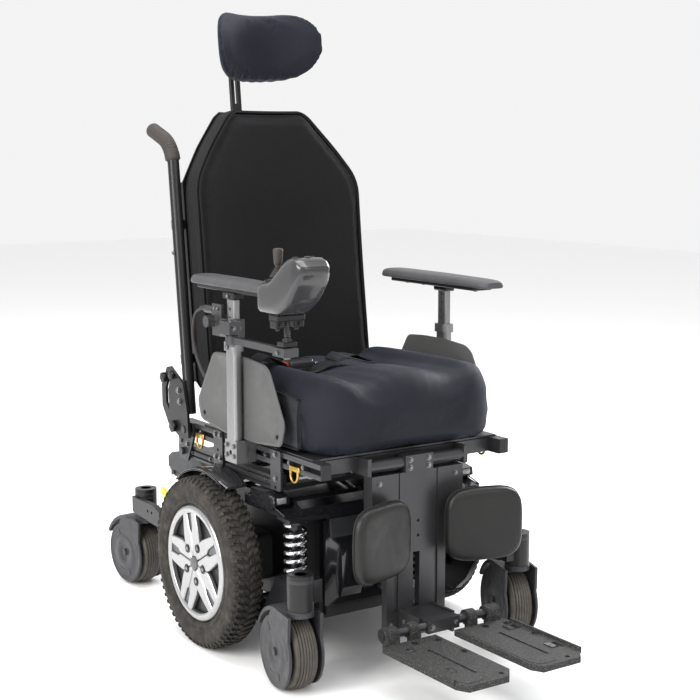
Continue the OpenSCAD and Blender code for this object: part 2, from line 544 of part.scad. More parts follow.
buckle_button();
arm_post(-1);  // arm_post_right
arm_post(1);  // arm_post_left
arm_pad(-1);  // arm_pad_right
arm_pad(1);  // arm_pad_left
joystick_bracket();
joystick_link();
joystick_pod();
joystick_boot();
joystick_stick();
power_button();
joystick_cable();
back_frame();
push_grip();
back_shell();
back_cushion();
headrest_bar();
headrest_pad();
legrest_carrier();
legrest_slide();
footplate(-1);  // footplate_right
footplate(1);  // footplate_left
calf_pad(-1);  // calf_pad_right
calf_pad(1);  // calf_pad_left
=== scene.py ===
import bpy, bmesh, json, math, random
from math import sin, cos, pi, radians
from mathutils import Vector, Matrix


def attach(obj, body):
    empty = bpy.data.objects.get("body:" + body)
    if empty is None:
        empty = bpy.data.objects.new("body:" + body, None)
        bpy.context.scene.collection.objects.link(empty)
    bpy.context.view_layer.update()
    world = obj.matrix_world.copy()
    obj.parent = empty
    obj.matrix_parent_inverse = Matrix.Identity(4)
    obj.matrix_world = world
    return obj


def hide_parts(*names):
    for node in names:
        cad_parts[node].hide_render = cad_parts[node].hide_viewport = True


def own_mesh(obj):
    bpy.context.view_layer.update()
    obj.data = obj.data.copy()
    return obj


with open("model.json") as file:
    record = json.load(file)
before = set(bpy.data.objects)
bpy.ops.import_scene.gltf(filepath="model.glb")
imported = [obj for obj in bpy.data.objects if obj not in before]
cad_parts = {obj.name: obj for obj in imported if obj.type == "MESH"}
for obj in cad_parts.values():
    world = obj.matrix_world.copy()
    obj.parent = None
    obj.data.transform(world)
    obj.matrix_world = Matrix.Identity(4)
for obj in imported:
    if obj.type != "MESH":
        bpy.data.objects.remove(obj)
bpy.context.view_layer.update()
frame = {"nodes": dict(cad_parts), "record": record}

N = frame["nodes"]
random.seed(4)

# ---------------------------------------------------------------- camera
cam = bpy.data.objects.new("view_camera", bpy.data.cameras.new("view_camera"))
bpy.context.scene.collection.objects.link(cam)
cam.location = (-1.6238, -2.5221, 1.0248)
cam.rotation_euler = (radians(90 - 8.1), 0, radians(-34.1))
cam.data.sensor_width = 36
cam.data.lens = 73.0
cam.data.shift_x = -3.1 / 700
cam.data.shift_y = -1.1 / 700
cam.data.clip_end = 60
bpy.context.scene.camera = cam
bpy.context.scene.view_settings.view_transform = "Standard"

# ------------------------------------------------------------- materials
def principled(name):
    m = bpy.data.materials.new(name)
    m.use_nodes = True
    nt = m.node_tree
    b = nt.nodes["Principled BSDF"]
    return m, nt, b

def tex(nt, kind, scale, stretch=None, **kw):
    co = nt.nodes.new("ShaderNodeTexCoord")
    mp = nt.nodes.new("ShaderNodeMapping")
    if stretch:
        mp.inputs["Scale"].default_value = stretch
    t = nt.nodes.new(kind)
    if "Scale" in t.inputs:
        t.inputs["Scale"].default_value = scale
    for k, v in kw.items():
        if k in t.inputs:
            t.inputs[k].default_value = v
        else:
            setattr(t, k, v)
    nt.links.new(co.outputs["Object"], mp.inputs["Vector"])
    nt.links.new(mp.outputs["Vector"], t.inputs["Vector"])
    return t

def fac(t):
    return t.outputs["Fac"] if "Fac" in t.outputs else t.outputs[0]

def ramp(nt, src, stops):
    r = nt.nodes.new("ShaderNodeValToRGB")
    e = r.color_ramp.elements
    e[0].position, e[0].color = stops[0][0], (*stops[0][1], 1)
    e[1].position, e[1].color = stops[-1][0], (*stops[-1][1], 1)
    for p, c in stops[1:-1]:
        x = e.new(p)
        x.color = (*c, 1)
    nt.links.new(src, r.inputs["Fac"])
    return r.outputs["Color"]

def mathn(nt, op, a, b):
    n = nt.nodes.new("ShaderNodeMath")
    n.operation = op
    for i, v in enumerate((a, b)):
        if isinstance(v, (int, float)):
            n.inputs[i].default_value = v
        else:
            nt.links.new(v, n.inputs[i])
    return n.outputs[0]

def bumps(nt, b, layers):
    prev = None
    for src, dist, strength in layers:
        n = nt.nodes.new("ShaderNodeBump")
        n.inputs["Distance"].default_value = dist
        n.inputs["Strength"].default_value = strength
        nt.links.new(src, n.inputs["Height"])
        if prev is not None:
            nt.links.new(prev, n.inputs["Normal"])
        prev = n.outputs["Normal"]
    nt.links.new(prev, b.inputs["Normal"])

def tone(c, k):
    return tuple(max(0.0, min(1.0, v * k)) for v in c)

def surface(name, base, rough, metal=0.0, grain=0, grain_d=0.0002, var=0.15, rvar=0.08, dust=0.0,
            coat=0.0, stretch=None, scratch=0.0):
    """moulded plastic, coated metal, rubber: mottled colour and roughness, grain bump"""
    m, nt, b = principled(name)
    n1 = tex(nt, "ShaderNodeTexNoise", 14, stretch, Detail=6, Roughness=0.6)
    stops = [(0.3, tone(base, 1 - var)), (0.7, tone(base, 1 + var))]
    col = ramp(nt, fac(n1), stops)
    if dust:
        n3 = tex(nt, "ShaderNodeTexNoise", 45, None, Detail=8, Roughness=0.7)
        mx = nt.nodes.new("ShaderNodeMix")
        mx.data_type = "RGBA"
        nt.links.new(ramp(nt, fac(n3), [(0.45, (0, 0, 0)), (0.75, (dust,) * 3)]), mx.inputs[0])
        nt.links.new(col, mx.inputs[6])
        mx.inputs[7].default_value = (0.33, 0.29, 0.24, 1)
        col = mx.outputs[2]
    nt.links.new(col, b.inputs["Base Color"])
    n2 = tex(nt, "ShaderNodeTexNoise", 60, stretch, Detail=5)
    nt.links.new(ramp(nt, fac(n2), [(0.3, (rough - rvar,) * 3), (0.7, (rough + rvar,) * 3)]), b.inputs["Roughness"])
    b.inputs["Metallic"].default_value = metal
    if metal < 0.35:
        b.inputs["Specular IOR Level"].default_value = 0.24
    if coat:
        b.inputs["Coat Weight"].default_value = coat
        b.inputs["Coat Roughness"].default_value = 0.06
    layers = []
    if grain:
        g = tex(nt, "ShaderNodeTexVoronoi", grain, stretch)
        layers.append((g.outputs["Distance"], grain_d, 0.5))
    g2 = tex(nt, "ShaderNodeTexNoise", 9, None, Detail=3)
    layers.append((fac(g2), 0.0004, 0.04 if metal > 0.3 or coat else 0.08))
    bumps(nt, b, layers)
    return m

def cloth_mat(name, base, rough=0.85, pitch=0.0009, depth=0.00025, sheen=0.5, knit=False, tint=(0.5, 0.55, 0.7), fold=0.0012):
    """woven or knitted fabric: two crossed thread waves, slubs, broad soft shading"""
    m, nt, b = principled(name)
    s = 1.0 / pitch / 6.2832 * 3.1416
    w1 = tex(nt, "ShaderNodeTexWave", s, (1, 0.35, 1) if knit else (1, 1, 1), Distortion=0.7 if knit else 0.25)
    w1.bands_direction = "X"
    w2 = tex(nt, "ShaderNodeTexWave", s, None, Distortion=0.7 if knit else 0.25)
    w2.bands_direction = "Z"
    w3 = tex(nt, "ShaderNodeTexWave", s, None, Distortion=0.25)
    w3.bands_direction = "Y"
    weave = mathn(nt, "MULTIPLY", mathn(nt, "ADD", fac(w1), 0.3), mathn(nt, "ADD", mathn(nt, "MAXIMUM", fac(w2), fac(w3)), 0.3))
    n1 = tex(nt, "ShaderNodeTexNoise", 7, None, Detail=5, Roughness=0.55)
    n2 = tex(nt, "ShaderNodeTexNoise", 420, None, Detail=2)
    c1 = ramp(nt, fac(n1), [(0.3, tone(base, 0.82)), (0.7, tone(base, 1.2))])
    mx = nt.nodes.new("ShaderNodeMix")
    mx.data_type = "RGBA"
    mx.blend_type = "MULTIPLY"
    mx.inputs[0].default_value = 0.45
    nt.links.new(c1, mx.inputs[6])
    nt.links.new(ramp(nt, weave, [(0.2, (0.55,) * 3), (1.2, (1.0,) * 3)]), mx.inputs[7])
    nt.links.new(mx.outputs[2], b.inputs["Base Color"])
    nt.links.new(ramp(nt, fac(n2), [(0.3, (rough - 0.07,) * 3), (0.7, (min(1, rough + 0.07),) * 3)]), b.inputs["Roughness"])
    b.inputs["Sheen Weight"].default_value = sheen
    b.inputs["Specular IOR Level"].default_value = 0.16
    b.inputs["Sheen Roughness"].default_value = 0.45
    b.inputs["Sheen Tint"].default_value = (*tint, 1)
    n3 = tex(nt, "ShaderNodeTexNoise", 11, None, Detail=4, Roughness=0.5)
    bumps(nt, b, [(fac(n3), fold, 0.35), (weave, depth, 0.6)])
    return m

def speckle_mat(name):
    """grit tape: black ground with pale mineral specks"""
    m, nt, b = principled(name)
    v = tex(nt, "ShaderNodeTexVoronoi", 480)
    n = tex(nt, "ShaderNodeTexNoise", 900, None, Detail=3)
    k = mathn(nt, "MULTIPLY", ramp(nt, v.outputs["Distance"], [(0.15, (1, 1, 1)), (0.35, (0, 0, 0))]), ramp(nt, fac(n), [(0.5, (0, 0, 0)), (0.6, (1, 1, 1))]))
    nt.links.new(ramp(nt, k, [(0.1, (0.010, 0.0098, 0.0095)), (0.9, (0.42, 0.41, 0.40))]), b.inputs["Base Color"])
    nt.links.new(ramp(nt, fac(n), [(0.3, (0.65,) * 3), (0.7, (0.9,) * 3)]), b.inputs["Roughness"])
    bumps(nt, b, [(v.outputs["Distance"], 0.0006, 0.8)])
    return m

MAT = {
    "frame_black": surface("frame_black", (0.009, 0.009, 0.010), 0.33, 0.0, 1500, 0.00012, coat=0.08, rvar=0.03),
    "rail_anodised": surface("rail_anodised", (0.046, 0.046, 0.049), 0.33, 0.6, 0, 0, var=0.05, rvar=0.02),
    "grey_plastic": surface("grey_plastic", (0.030, 0.031, 0.034), 0.42, 0.0, 1100, 0.0002),
    "guard_grey": surface("guard_grey", (0.070, 0.070, 0.070), 0.40, 0.0, 1100, 0.00018, var=0.06),
    "gloss_black": surface("gloss_black", (0.010, 0.010, 0.012), 0.13, 0.0, 0, 0, coat=0.8, rvar=0.03),
    "fender_grey": surface("fender_grey", (0.030, 0.030, 0.032), 0.16, 0.1, 0, 0, coat=0.7, rvar=0.03),
    "battery_case": surface("battery_case", (0.018, 0.018, 0.020), 0.6, 0.0, 900, 0.0003),
    "motor_cast": surface("motor_cast", (0.024, 0.024, 0.026), 0.5, 0.3, 700, 0.0004),
    "lamp_lens": surface("lamp_lens", (0.22, 0.22, 0.235), 0.08, 0.1, 0, 0, coat=1.0),
    "lamp_amber": surface("lamp_amber", (0.75, 0.20, 0.03), 0.12, 0.0, 0, 0, coat=1.0),
    "lever_yellow": surface("lever_yellow", (0.80, 0.55, 0.01), 0.33, 0.0, 0, 0, coat=0.4),
    "tyre_black": surface("tyre_black", (0.018, 0.0165, 0.015), 0.78, 0.0, 900, 0.0003, dust=0.14),
    "rim_grey": surface("rim_grey", (0.085, 0.085, 0.09), 0.40, 0.5, 0, 0),
    "hubcap_silver": surface("hubcap_silver", (0.34, 0.34, 0.345), 0.30, 0.8, 0, 0, var=0.04, coat=0.3, rvar=0.04),
    "caster_rubber": surface("caster_rubber", (0.060, 0.054, 0.048), 0.66, 0.0, 900, 0.0003, dust=0.15),
    "spring_chrome": surface("spring_chrome", (0.62, 0.62, 0.64), 0.16, 1.0, 0, 0, var=0.05, rvar=0.05),
    "actuator_metal": surface("actuator_metal", (0.20, 0.20, 0.21), 0.34, 0.8, 0, 0),
    "seat_fabric": cloth_mat("seat_fabric", (0.0078, 0.0088, 0.0140), 0.58, 0.0010, 0.0002, 0.06, True, (0.45, 0.5, 0.65), 0.001),
    "mesh_side": cloth_mat("mesh_side", (0.022, 0.0225, 0.025), 0.8, 0.0030, 0.0011, 0.08, False),
    "back_fabric": cloth_mat("back_fabric", (0.0060, 0.0060, 0.0065), 0.80, 0.0011, 0.0003, 0.05, False, (0.4, 0.42, 0.5), 0.0012),
    "boxing_fabric": cloth_mat("boxing_fabric", (0.0080, 0.0080, 0.0086), 0.85, 0.0018, 0.0006, 0.06, False, (0.5, 0.5, 0.55), 0.001),
    "belt_webbing": cloth_mat("belt_webbing", (0.0070, 0.0070, 0.0076), 0.7, 0.0016, 0.0006, 0.05, False),
    "head_fabric": cloth_mat("head_fabric", (0.0068, 0.0078, 0.0135), 0.66, 0.0010, 0.0002, 0.07, True, (0.45, 0.5, 0.7), 0.001),
    "button_red": surface("button_red", (0.65, 0.02, 0.012), 0.3, 0.0, 0, 0, coat=0.4),
    "button_green": surface("button_green", (0.05, 0.25, 0.08), 0.35, 0.0, 0, 0, coat=0.3),
    "post_silver": surface("post_silver", (0.22, 0.22, 0.225), 0.32, 0.85, 0, 0, stretch=(1, 1, 0.08)),
    "pad_vinyl": surface("pad_vinyl", (0.055, 0.055, 0.058), 0.46, 0.0, 900, 0.00035),
    "calf_vinyl": surface("calf_vinyl", (0.0120, 0.0115, 0.0112), 0.36, 0.0, 900, 0.0003),
    "joy_metal": surface("joy_metal", (0.06, 0.06, 0.063), 0.34, 0.7, 0, 0),
    "joy_plastic": surface("joy_plastic", (0.026, 0.026, 0.028), 0.22, 0.0, 0, 0, var=0.05, coat=0.5, rvar=0.02),
    "grip_rubber": surface("grip_rubber", (0.035, 0.031, 0.029), 0.6, 0.0, 1200, 0.0003),
    "foot_plate": speckle_mat("foot_plate"),
    "bolt_zinc": surface("bolt_zinc", (0.17, 0.17, 0.175), 0.3, 0.95, 0, 0),
    "bolt_black": surface("bolt_black", (0.02, 0.02, 0.022), 0.35, 0.6, 0, 0),
    "tie_gold": surface("tie_gold", (0.42, 0.27, 0.06), 0.32, 0.95, 0, 0),
    "barrel_grey": surface("barrel_grey", (0.030, 0.030, 0.033), 0.4, 0.0, 1100, 0.0002),
    "cap_brown": surface("cap_brown", (0.10, 0.075, 0.055), 0.5, 0.0, 900, 0.0002),
    "floor": surface("floor", (0.94, 0.94, 0.94), 0.6, 0.0, 0, 0, var=0.01),
}
SLOT = {d["node"]: d["material_slot"] for d in frame["record"]["subparts"]}

# --------------------------------------------------------------- helpers
def body_of_node(n):
    for b, members in frame["record"]["behaviour"]["bodies"].items():
        if n in members:
            return b

def link(me, name, mat, body, replaces=(), sharp=40, smooth=True):
    me.update()
    o = bpy.data.objects.new(name, me)
    bpy.context.scene.collection.objects.link(o)
    mats = mat if isinstance(mat, (list, tuple)) else [mat]
    for m in mats:
        me.materials.append(MAT[m])
    if smooth:
        for p in me.polygons:
            p.use_smooth = True
        if sharp:
            me.set_sharp_from_angle(angle=radians(sharp))
    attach(o, body)
    if replaces:
        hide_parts(*replaces)
    return o

def make(name, verts, faces, mat, body, replaces=(), slot=None, sharp=40, tidy=True, fm=None):
    """verts in millimetres in the row frame"""
    me = bpy.data.meshes.new(name)
    me.from_pydata([(v[0] / 1000, v[1] / 1000, v[2] / 1000) for v in verts], [], faces)
    if fm:
        for p, i in zip(me.polygons, fm):
            p.material_index = i
    if tidy:
        bm = bmesh.new()
        bm.from_mesh(me)
        bmesh.ops.remove_doubles(bm, verts=bm.verts, dist=1e-6)
        bmesh.ops.recalc_face_normals(bm, faces=bm.faces)
        bm.to_mesh(me)
        bm.free()
    return link(me, name, mat, body, replaces, sharp)

class Shell:
    """collects closed pieces of one mesh, in millimetres"""
    def __init__(self):
        self.v, self.f, self.m = [], [], []
    def add(self, v, f, m=0):
        k = len(self.v)
        self.v += [tuple(p) for p in v]
        self.f += [tuple(i + k for i in q) for q in f]
        self.m += [m] * len(f)
    def rings(self, rings, m=0, cap=True, closed=False):
        n, k = len(rings[0]), len(rings)
        v = [p for r in rings for p in r]
        f = []
        for i in range(k if closed else k - 1):
            for j in range(n):
                a, b = i * n, ((i + 1) % k) * n
                f.append((a + j, a + (j + 1) % n, b + (j + 1) % n, b + j))
        if cap and not closed:
            f.append(tuple(range(n - 1, -1, -1)))
            f.append(tuple((k - 1) * n + j for j in range(n)))
        self.add(v, f, m)
    def lathe(self, prof, place, n=48, m=0):
        """prof: closed list of (r, h); place(r cos, r sin, h) -> point"""
        rings = [[place(r * cos(2 * pi * i / n), r * sin(2 * pi * i / n), h) for r, h in prof] for i in range(n)]
        self.rings(rings, m, closed=True)
    def disc(self, prof, place, n=32, m=0):
        """a turned solid: open profile from the axis out and back to the axis"""
        rings = [[place(max(r, 0.01) * cos(2 * pi * i / n), max(r, 0.01) * sin(2 * pi * i / n), h) for i in range(n)] for r, h in prof]
        self.rings(rings, m)
    def tube(self, pts, r, n=12, m=0):
        rr = r if callable(r) else (lambda t: r)
        P = [Vector(p) for p in pts]
        T = [(P[min(i + 1, len(P) - 1)] - P[max(i - 1, 0)]).normalized() for i in range(len(P))]
        u = T[0].orthogonal().normalized()
        rings = []
        for i, p in enumerate(P):
            u = (u - T[i] * u.dot(T[i])).normalized()
            w = T[i].cross(u)
            q = rr(i / (len(P) - 1))
            rings.append([p + q * (u * cos(2 * pi * k / n) + w * sin(2 * pi * k / n)) for k in range(n)])
        self.rings(rings, m)
    def box(self, lo, hi, b=1.0, m=0, place=None):
        """box with chamfered edges"""
        place = place or (lambda x, y, z: (x, y, z))
        x0, y0, z0 = lo
        x1, y1, z1 = hi
        b = min(b, (x1 - x0) / 2.01, (y1 - y0) / 2.01, (z1 - z0) / 2.01)
        rings = []
        for z, k in ((z0, b), (z0 + b, 0), (z1 - b, 0), (z1, b)):
            c = b
            rings.append([place(x, y, z) for x, y in (
                (x0 + k + c * (k == 0), y0 + k), (x1 - k - c * (k == 0), y0 + k), (x1 - k, y0 + k + c * (k == 0)), (x1 - k, y1 - k - c * (k == 0)),
                (x1 - k - c * (k == 0), y1 - k), (x0 + k + c * (k == 0), y1 - k), (x0 + k, y1 - k - c * (k == 0)), (x0 + k, y0 + k + c * (k == 0)))])
        self.rings(rings, m)
    def prism(self, pts, h0, h1, place, b=0.8, m=0):
        """outline (a, b) swept over h, with a small chamfer"""
        n = len(pts)
        ar = sum(pts[i][0] * pts[(i + 1) % n][1] - pts[(i + 1) % n][0] * pts[i][1] for i in range(n))
        s = 1 if ar > 0 else -1
        ins = []
        for i in range(n):
            p0, p1, p2 = Vector(pts[i - 1]), Vector(pts[i]), Vector(pts[(i + 1) % n])
            d1, d2 = (p1 - p0).normalized(), (p2 - p1).normalized()
            nrm = Vector((-d1.y - d2.y, d1.x + d2.x)) * s
            nrm = nrm.normalized() / max(0.4, nrm.length / 2) if nrm.length > 1e-6 else Vector((0, 0))
            ins.append((p1.x + nrm.x * b, p1.y + nrm.y * b))
        self.rings([[place(x, y, h) for x, y in q] for q, h in ((ins, h0), (pts, h0 + b), (pts, h1 - b), (ins, h1))], m)
    def out(self, name, mat, body, replaces=(), slot=None, sharp=40):
        me = bpy.data.meshes.new(name)
        me.from_pydata([(x / 1000, y / 1000, z / 1000) for x, y, z in self.v], [], self.f)
        for p, i in zip(me.polygons, self.m):
            p.material_index = i
        bm = bmesh.new()
        bm.from_mesh(me)
        bmesh.ops.recalc_face_normals(bm, faces=bm.faces)
        bm.to_mesh(me)
        bm.free()
        return link(me, name, mat, body, replaces, sharp)

def rounded(node, mat=None, width=1.0, name=None, seg=2):
    """the CAD node's own shape with its edges broken, as a finished casting or moulding has"""
    src = N[node]
    me = src.data.copy()
    me.materials.clear()
    bm = bmesh.new()
    bm.from_mesh(me)
    bmesh.ops.remove_doubles(bm, verts=bm.verts, dist=2e-6)
    bmesh.ops.dissolve_limit(bm, angle_limit=radians(1.0), verts=bm.verts, edges=bm.edges)
    bm.to_mesh(me)
    bm.free()
    o = link(me, name or node + "_finished", mat or SLOT[node], body_of_node(node), (node,), sharp=32)
    bv = o.modifiers.new("edge", "BEVEL")
    bv.width = width / 1000
    bv.segments = seg
    bv.limit_method = "ANGLE"
    bv.angle_limit = radians(38)
    bv.use_clamp_overlap = True
    bv.harden_normals = False
    return o

def dress(node, mat=None):
    o = N[node]
    o.data.materials.clear()
    o.data.materials.append(MAT[mat or SLOT[node]])

def catmull(P, n):
    out = []
    L = len(P) - 1
    for i in range(n + 1):
        t = min(i / n * L, L - 1e-9)
        k = int(t)
        f = t - k
        a, b, c, d = P[max(k - 1, 0)], P[k], P[k + 1], P[min(k + 2, L)]
        out.append(tuple(0.5 * (2 * b[j] + (c[j] - a[j]) * f + (2 * a[j] - 5 * b[j] + 4 * c[j] - d[j]) * f * f + (3 * b[j] - a[j] - 3 * c[j] + d[j]) * f ** 3) for j in range(3)))
    return out

def lerp(tab, x):
    if x <= tab[0][0]: return tab[0][1]
    for (a, p), (b, q) in zip(tab, tab[1:]):
        if x <= b:
            t = (x - a) / (b - a)
            t = t * t * (3 - 2 * t)
            return p + (q - p) * t
    return tab[-1][1]

CB, SB = cos(radians(6.5)), sin(radians(6.5))
def back(x, y, z):
    return (x, 165 + y * CB + z * SB, 423 + z * CB - y * SB)
def wheel(s):
    return lambda a, b, h: (s * 279 + s * h, b, 178 - s * a)
def along_x(x0, s=1):
    return lambda a, b, h: (x0 + s * h, a, b)

def simulate(o, cap_mm, pressure=4.0, voxel=0.006, frames=20, iters=0):
    """fills a stuffed piece by cloth pressure, keeps each point within the cap, and applies it"""
    me0 = o.data
    bm = bmesh.new(); bm.from_mesh(me0); bm.to_mesh(me0); bm.free()
    md = o.modifiers.new("remesh", "REMESH"); md.mode = "VOXEL"; md.voxel_size = voxel
    dg = bpy.context.evaluated_depsgraph_get()
    base = bpy.data.meshes.new_from_object(o.evaluated_get(dg), depsgraph=dg)
    o.modifiers.clear()
    mats = list(me0.materials)
    o.data = base
    for m in mats:
        if m.name not in [x.name for x in base.materials if x]:
            base.materials.append(m)
    start = [v.co.copy() for v in base.vertices]
    c = o.modifiers.new("fill", "CLOTH")
    s = c.settings
    s.quality = 5
    s.mass = 0.25
    s.use_pressure = True
    s.uniform_pressure_force = pressure
    s.effector_weights.gravity = 0
    s.tension_stiffness = s.compression_stiffness = 18
    s.shear_stiffness = 6
    s.bending_stiffness = 0.8
    c.collision_settings.use_collision = False
    c.point_cache.frame_start, c.point_cache.frame_end = 1, frames
    for f in range(1, frames + 1):
        bpy.context.scene.frame_set(f)
    dg = bpy.context.evaluated_depsgraph_get()
    res = bpy.data.meshes.new_from_object(o.evaluated_get(dg), depsgraph=dg)
    end = [v.co.copy() for v in res.vertices]
    o.modifiers.clear()
    cap = cap_mm / 1000
    for v, a, b in zip(base.vertices, start, end):
        d = b - a
        if d.length > cap:
            d *= cap / d.length
        v.co = a + d
    bpy.context.scene.frame_set(1)
    for p in base.polygons:
        p.use_smooth = True

def subsurf(o, n=1):
    m = o.modifiers.new("smooth", "SUBSURF")
    m.levels = m.render_levels = n
    return o

def hexbolt(sh, c, ax, r=6.5, h=4, m=0, washer=True, n=6):
    """hex head with washer at c (mm), pointing along unit axis ax"""
    a = Vector(ax).normalized()
    u = a.orthogonal().normalized()
    w = a.cross(u)
    c = Vector(c)
    P = lambda x, y, z: c + u * x + w * y + a * z
    if washer:
        sh.disc([(0, 0), (r * 1.35, 0), (r * 1.35, 1.2), (0, 1.2)], P, 24, m)
    k = 1.2 if washer else 0
    sh.disc([(0, k), (r, k), (r, k + h - 0.8), (r * 0.86, k + h), (0, k + h)], P, n, m)

def knob(sh, c, ax, r=12, h=9, m=0):
    """star hand knob"""
    a = Vector(ax).normalized(); u = a.orthogonal().normalized(); w = a.cross(u); c = Vector(c)
    n = 60
    rings = []
    for k, (q, z) in enumerate(((0.6, 0), (0.6, 2), (0.95, 2.5), (1, 4), (1, h - 2), (0.93, h - 0.5), (0.8, h))):
        rings.append([c + u * (r * q * (1 + (0.10 * cos(6 * t) if q > 0.7 else 0)) * cos(t)) + w * (r * q * (1 + (0.10 * cos(6 * t) if q > 0.7 else 0)) * sin(t)) + a * z for t in [2 * pi * i / n for i in range(n)]])
    sh.rings(rings, m)

# --------------------------------------------------------- drive wheels
def drive_wheel(s, sd):
    W, body = wheel(s), "drive_wheel_" + sd
    sh = Shell()
    half = [(121, 24), (124, 30.5), (126.5, 32.6), (128, 32.2), (131, 33.4), (133, 33.2), (134.5, 34.6), (136, 33.6), (146, 34.8), (148, 35.6), (150, 35), (157, 34.6), (163, 33.2), (168.5, 30), (172, 25), (173.6, 16), (174.2, 8)]
    sh.lathe(half + [(174.3, 0)] + [(r, -h) for r, h in reversed(half)], W, 120)
    def R(w):
        w = abs(w)
        return 178 if w < 18 else 178 - (w - 18) ** 2 * 0.030
    def lug(poly, d0=7.5, lift=0.0):
        rings = []
        for k, shrink in ((d0, 1.0), (1.0, 1.0), (0.0, 0.88)):
            cx = sum(p[0] for p in poly) / len(poly); ca = sum(p[1] for p in poly) / len(poly)
            ring = []
            for w, a in poly:
                w2, a2 = cx + (w - cx) * shrink, ca + (a - ca) * shrink
                r = R(w2) - k - lift
                t = radians(a2)
                ring.append(W(r * cos(t), r * sin(t), w2))
            rings.append(ring)
        sh.rings(rings)
    n = 66
    for i in range(n):
        a = i * 360 / n
        for g in (1, -1):
            o = a + (0 if g > 0 else 180 / n)
            lug([(g * 2, o), (g * 12, o + 1.6), (g * 12, o + 4.3), (g * 2, o + 2.9)], 5.5)
            lug([(g * 14, o + 0.9), (g * 24.5, o + 2.4), (g * 24.5, o + 5.0), (g * 14, o + 3.8)], 5.5)
            lug([(g * 26, o + 0.3), (g * 32.5, o + 0.6), (g * 32.5, o + 2.9), (g * 26, o + 2.9)], 5.5)
    sh.out("tyre_" + sd, "tyre_black", body, ("drive_tyre_" + sd,), "tyre_black", 35)
    # wheel face: outer ring, five split spokes
    sh = Shell()
    sh.lathe([(104, 22), (104, 30.2), (106.5, 32.6), (112, 33.2), (117, 32.0), (120.2, 28.5), (120.6, 24), (116, 22)], W, 120)
    for k in range(5):
        c = radians(k * 72 + 12)
        P = lambda a, b, h, c=c: W(a * cos(c) - b * sin(c), a * sin(c) + b * cos(c), h)
        for g in (1, -1):
            sh.prism([(a, g * b) for a, b in ((15.5, 0.8), (62, 1.0), (72, 7), (108, 9.3), (106.5, 26), (95, 27.6), (72, 30.6), (56, 32.0), (47, 31.4), (43.7, 31.3), (12.6, 9.0))], 22, 31.6, P, 1.7)
    sh.out("wheel_face_" + sd, "hubcap_silver", body, ("hubcap_" + sd,), "hubcap_silver", 40)
    sh = Shell()
    sh.disc([(0, 15), (107, 15), (107, 20), (60, 21.5), (0, 21.5)], W, 72, 1)
    for k in range(5):
        c = radians(k * 72 + 12)
        P = lambda a, b, h, c=c: W(a * cos(c) - b * sin(c), a * sin(c) + b * cos(c), h)
        sh.prism([(64, -1.5), (64, 1.5), (73, 6.6), (107, 8.9), (107, -8.9), (73, -6.6)], 20, 27.6, P, 0.8)
    sh.disc([(0, 28), (14.2, 28), (14.6, 31.2), (13.4, 33.4), (5, 34), (0, 34)], W, 48)
    sh.out("wheel_recess_" + sd, ["rim_grey", "frame_black"], body, (), "rim_grey", 35)
    sh = Shell()
    for k in range(5):
        c = radians(k * 72 + 48)
        o = (37.5 * cos(c), 37.5 * sin(c))
        P = lambda x, y, h, o=o: W(o[0] + x, o[1] + y, h)
        sh.lathe([(6.2, 28), (9.0, 28), (9.2, 32.4), (8.2, 32.9), (6.2, 32.2)], P, 28, 1)
        sh.disc([(0, 28), (6.3, 28), (6.3, 31.9), (0, 31.9)], P, 28, 1)
        sh.disc([(0, 28), (5.0, 28), (5.0, 32.9), (4.2, 33.8), (0, 33.8)], P, 6, 0)
    sh.out("lug_bolts_" + sd, ["bolt_zinc", "bolt_black"], body, (), "rim_grey", 35)
    dress("drive_rim_" + sd)

for s, sd in ((-1, "right"), (1, "left")):
    drive_wheel(s, sd)

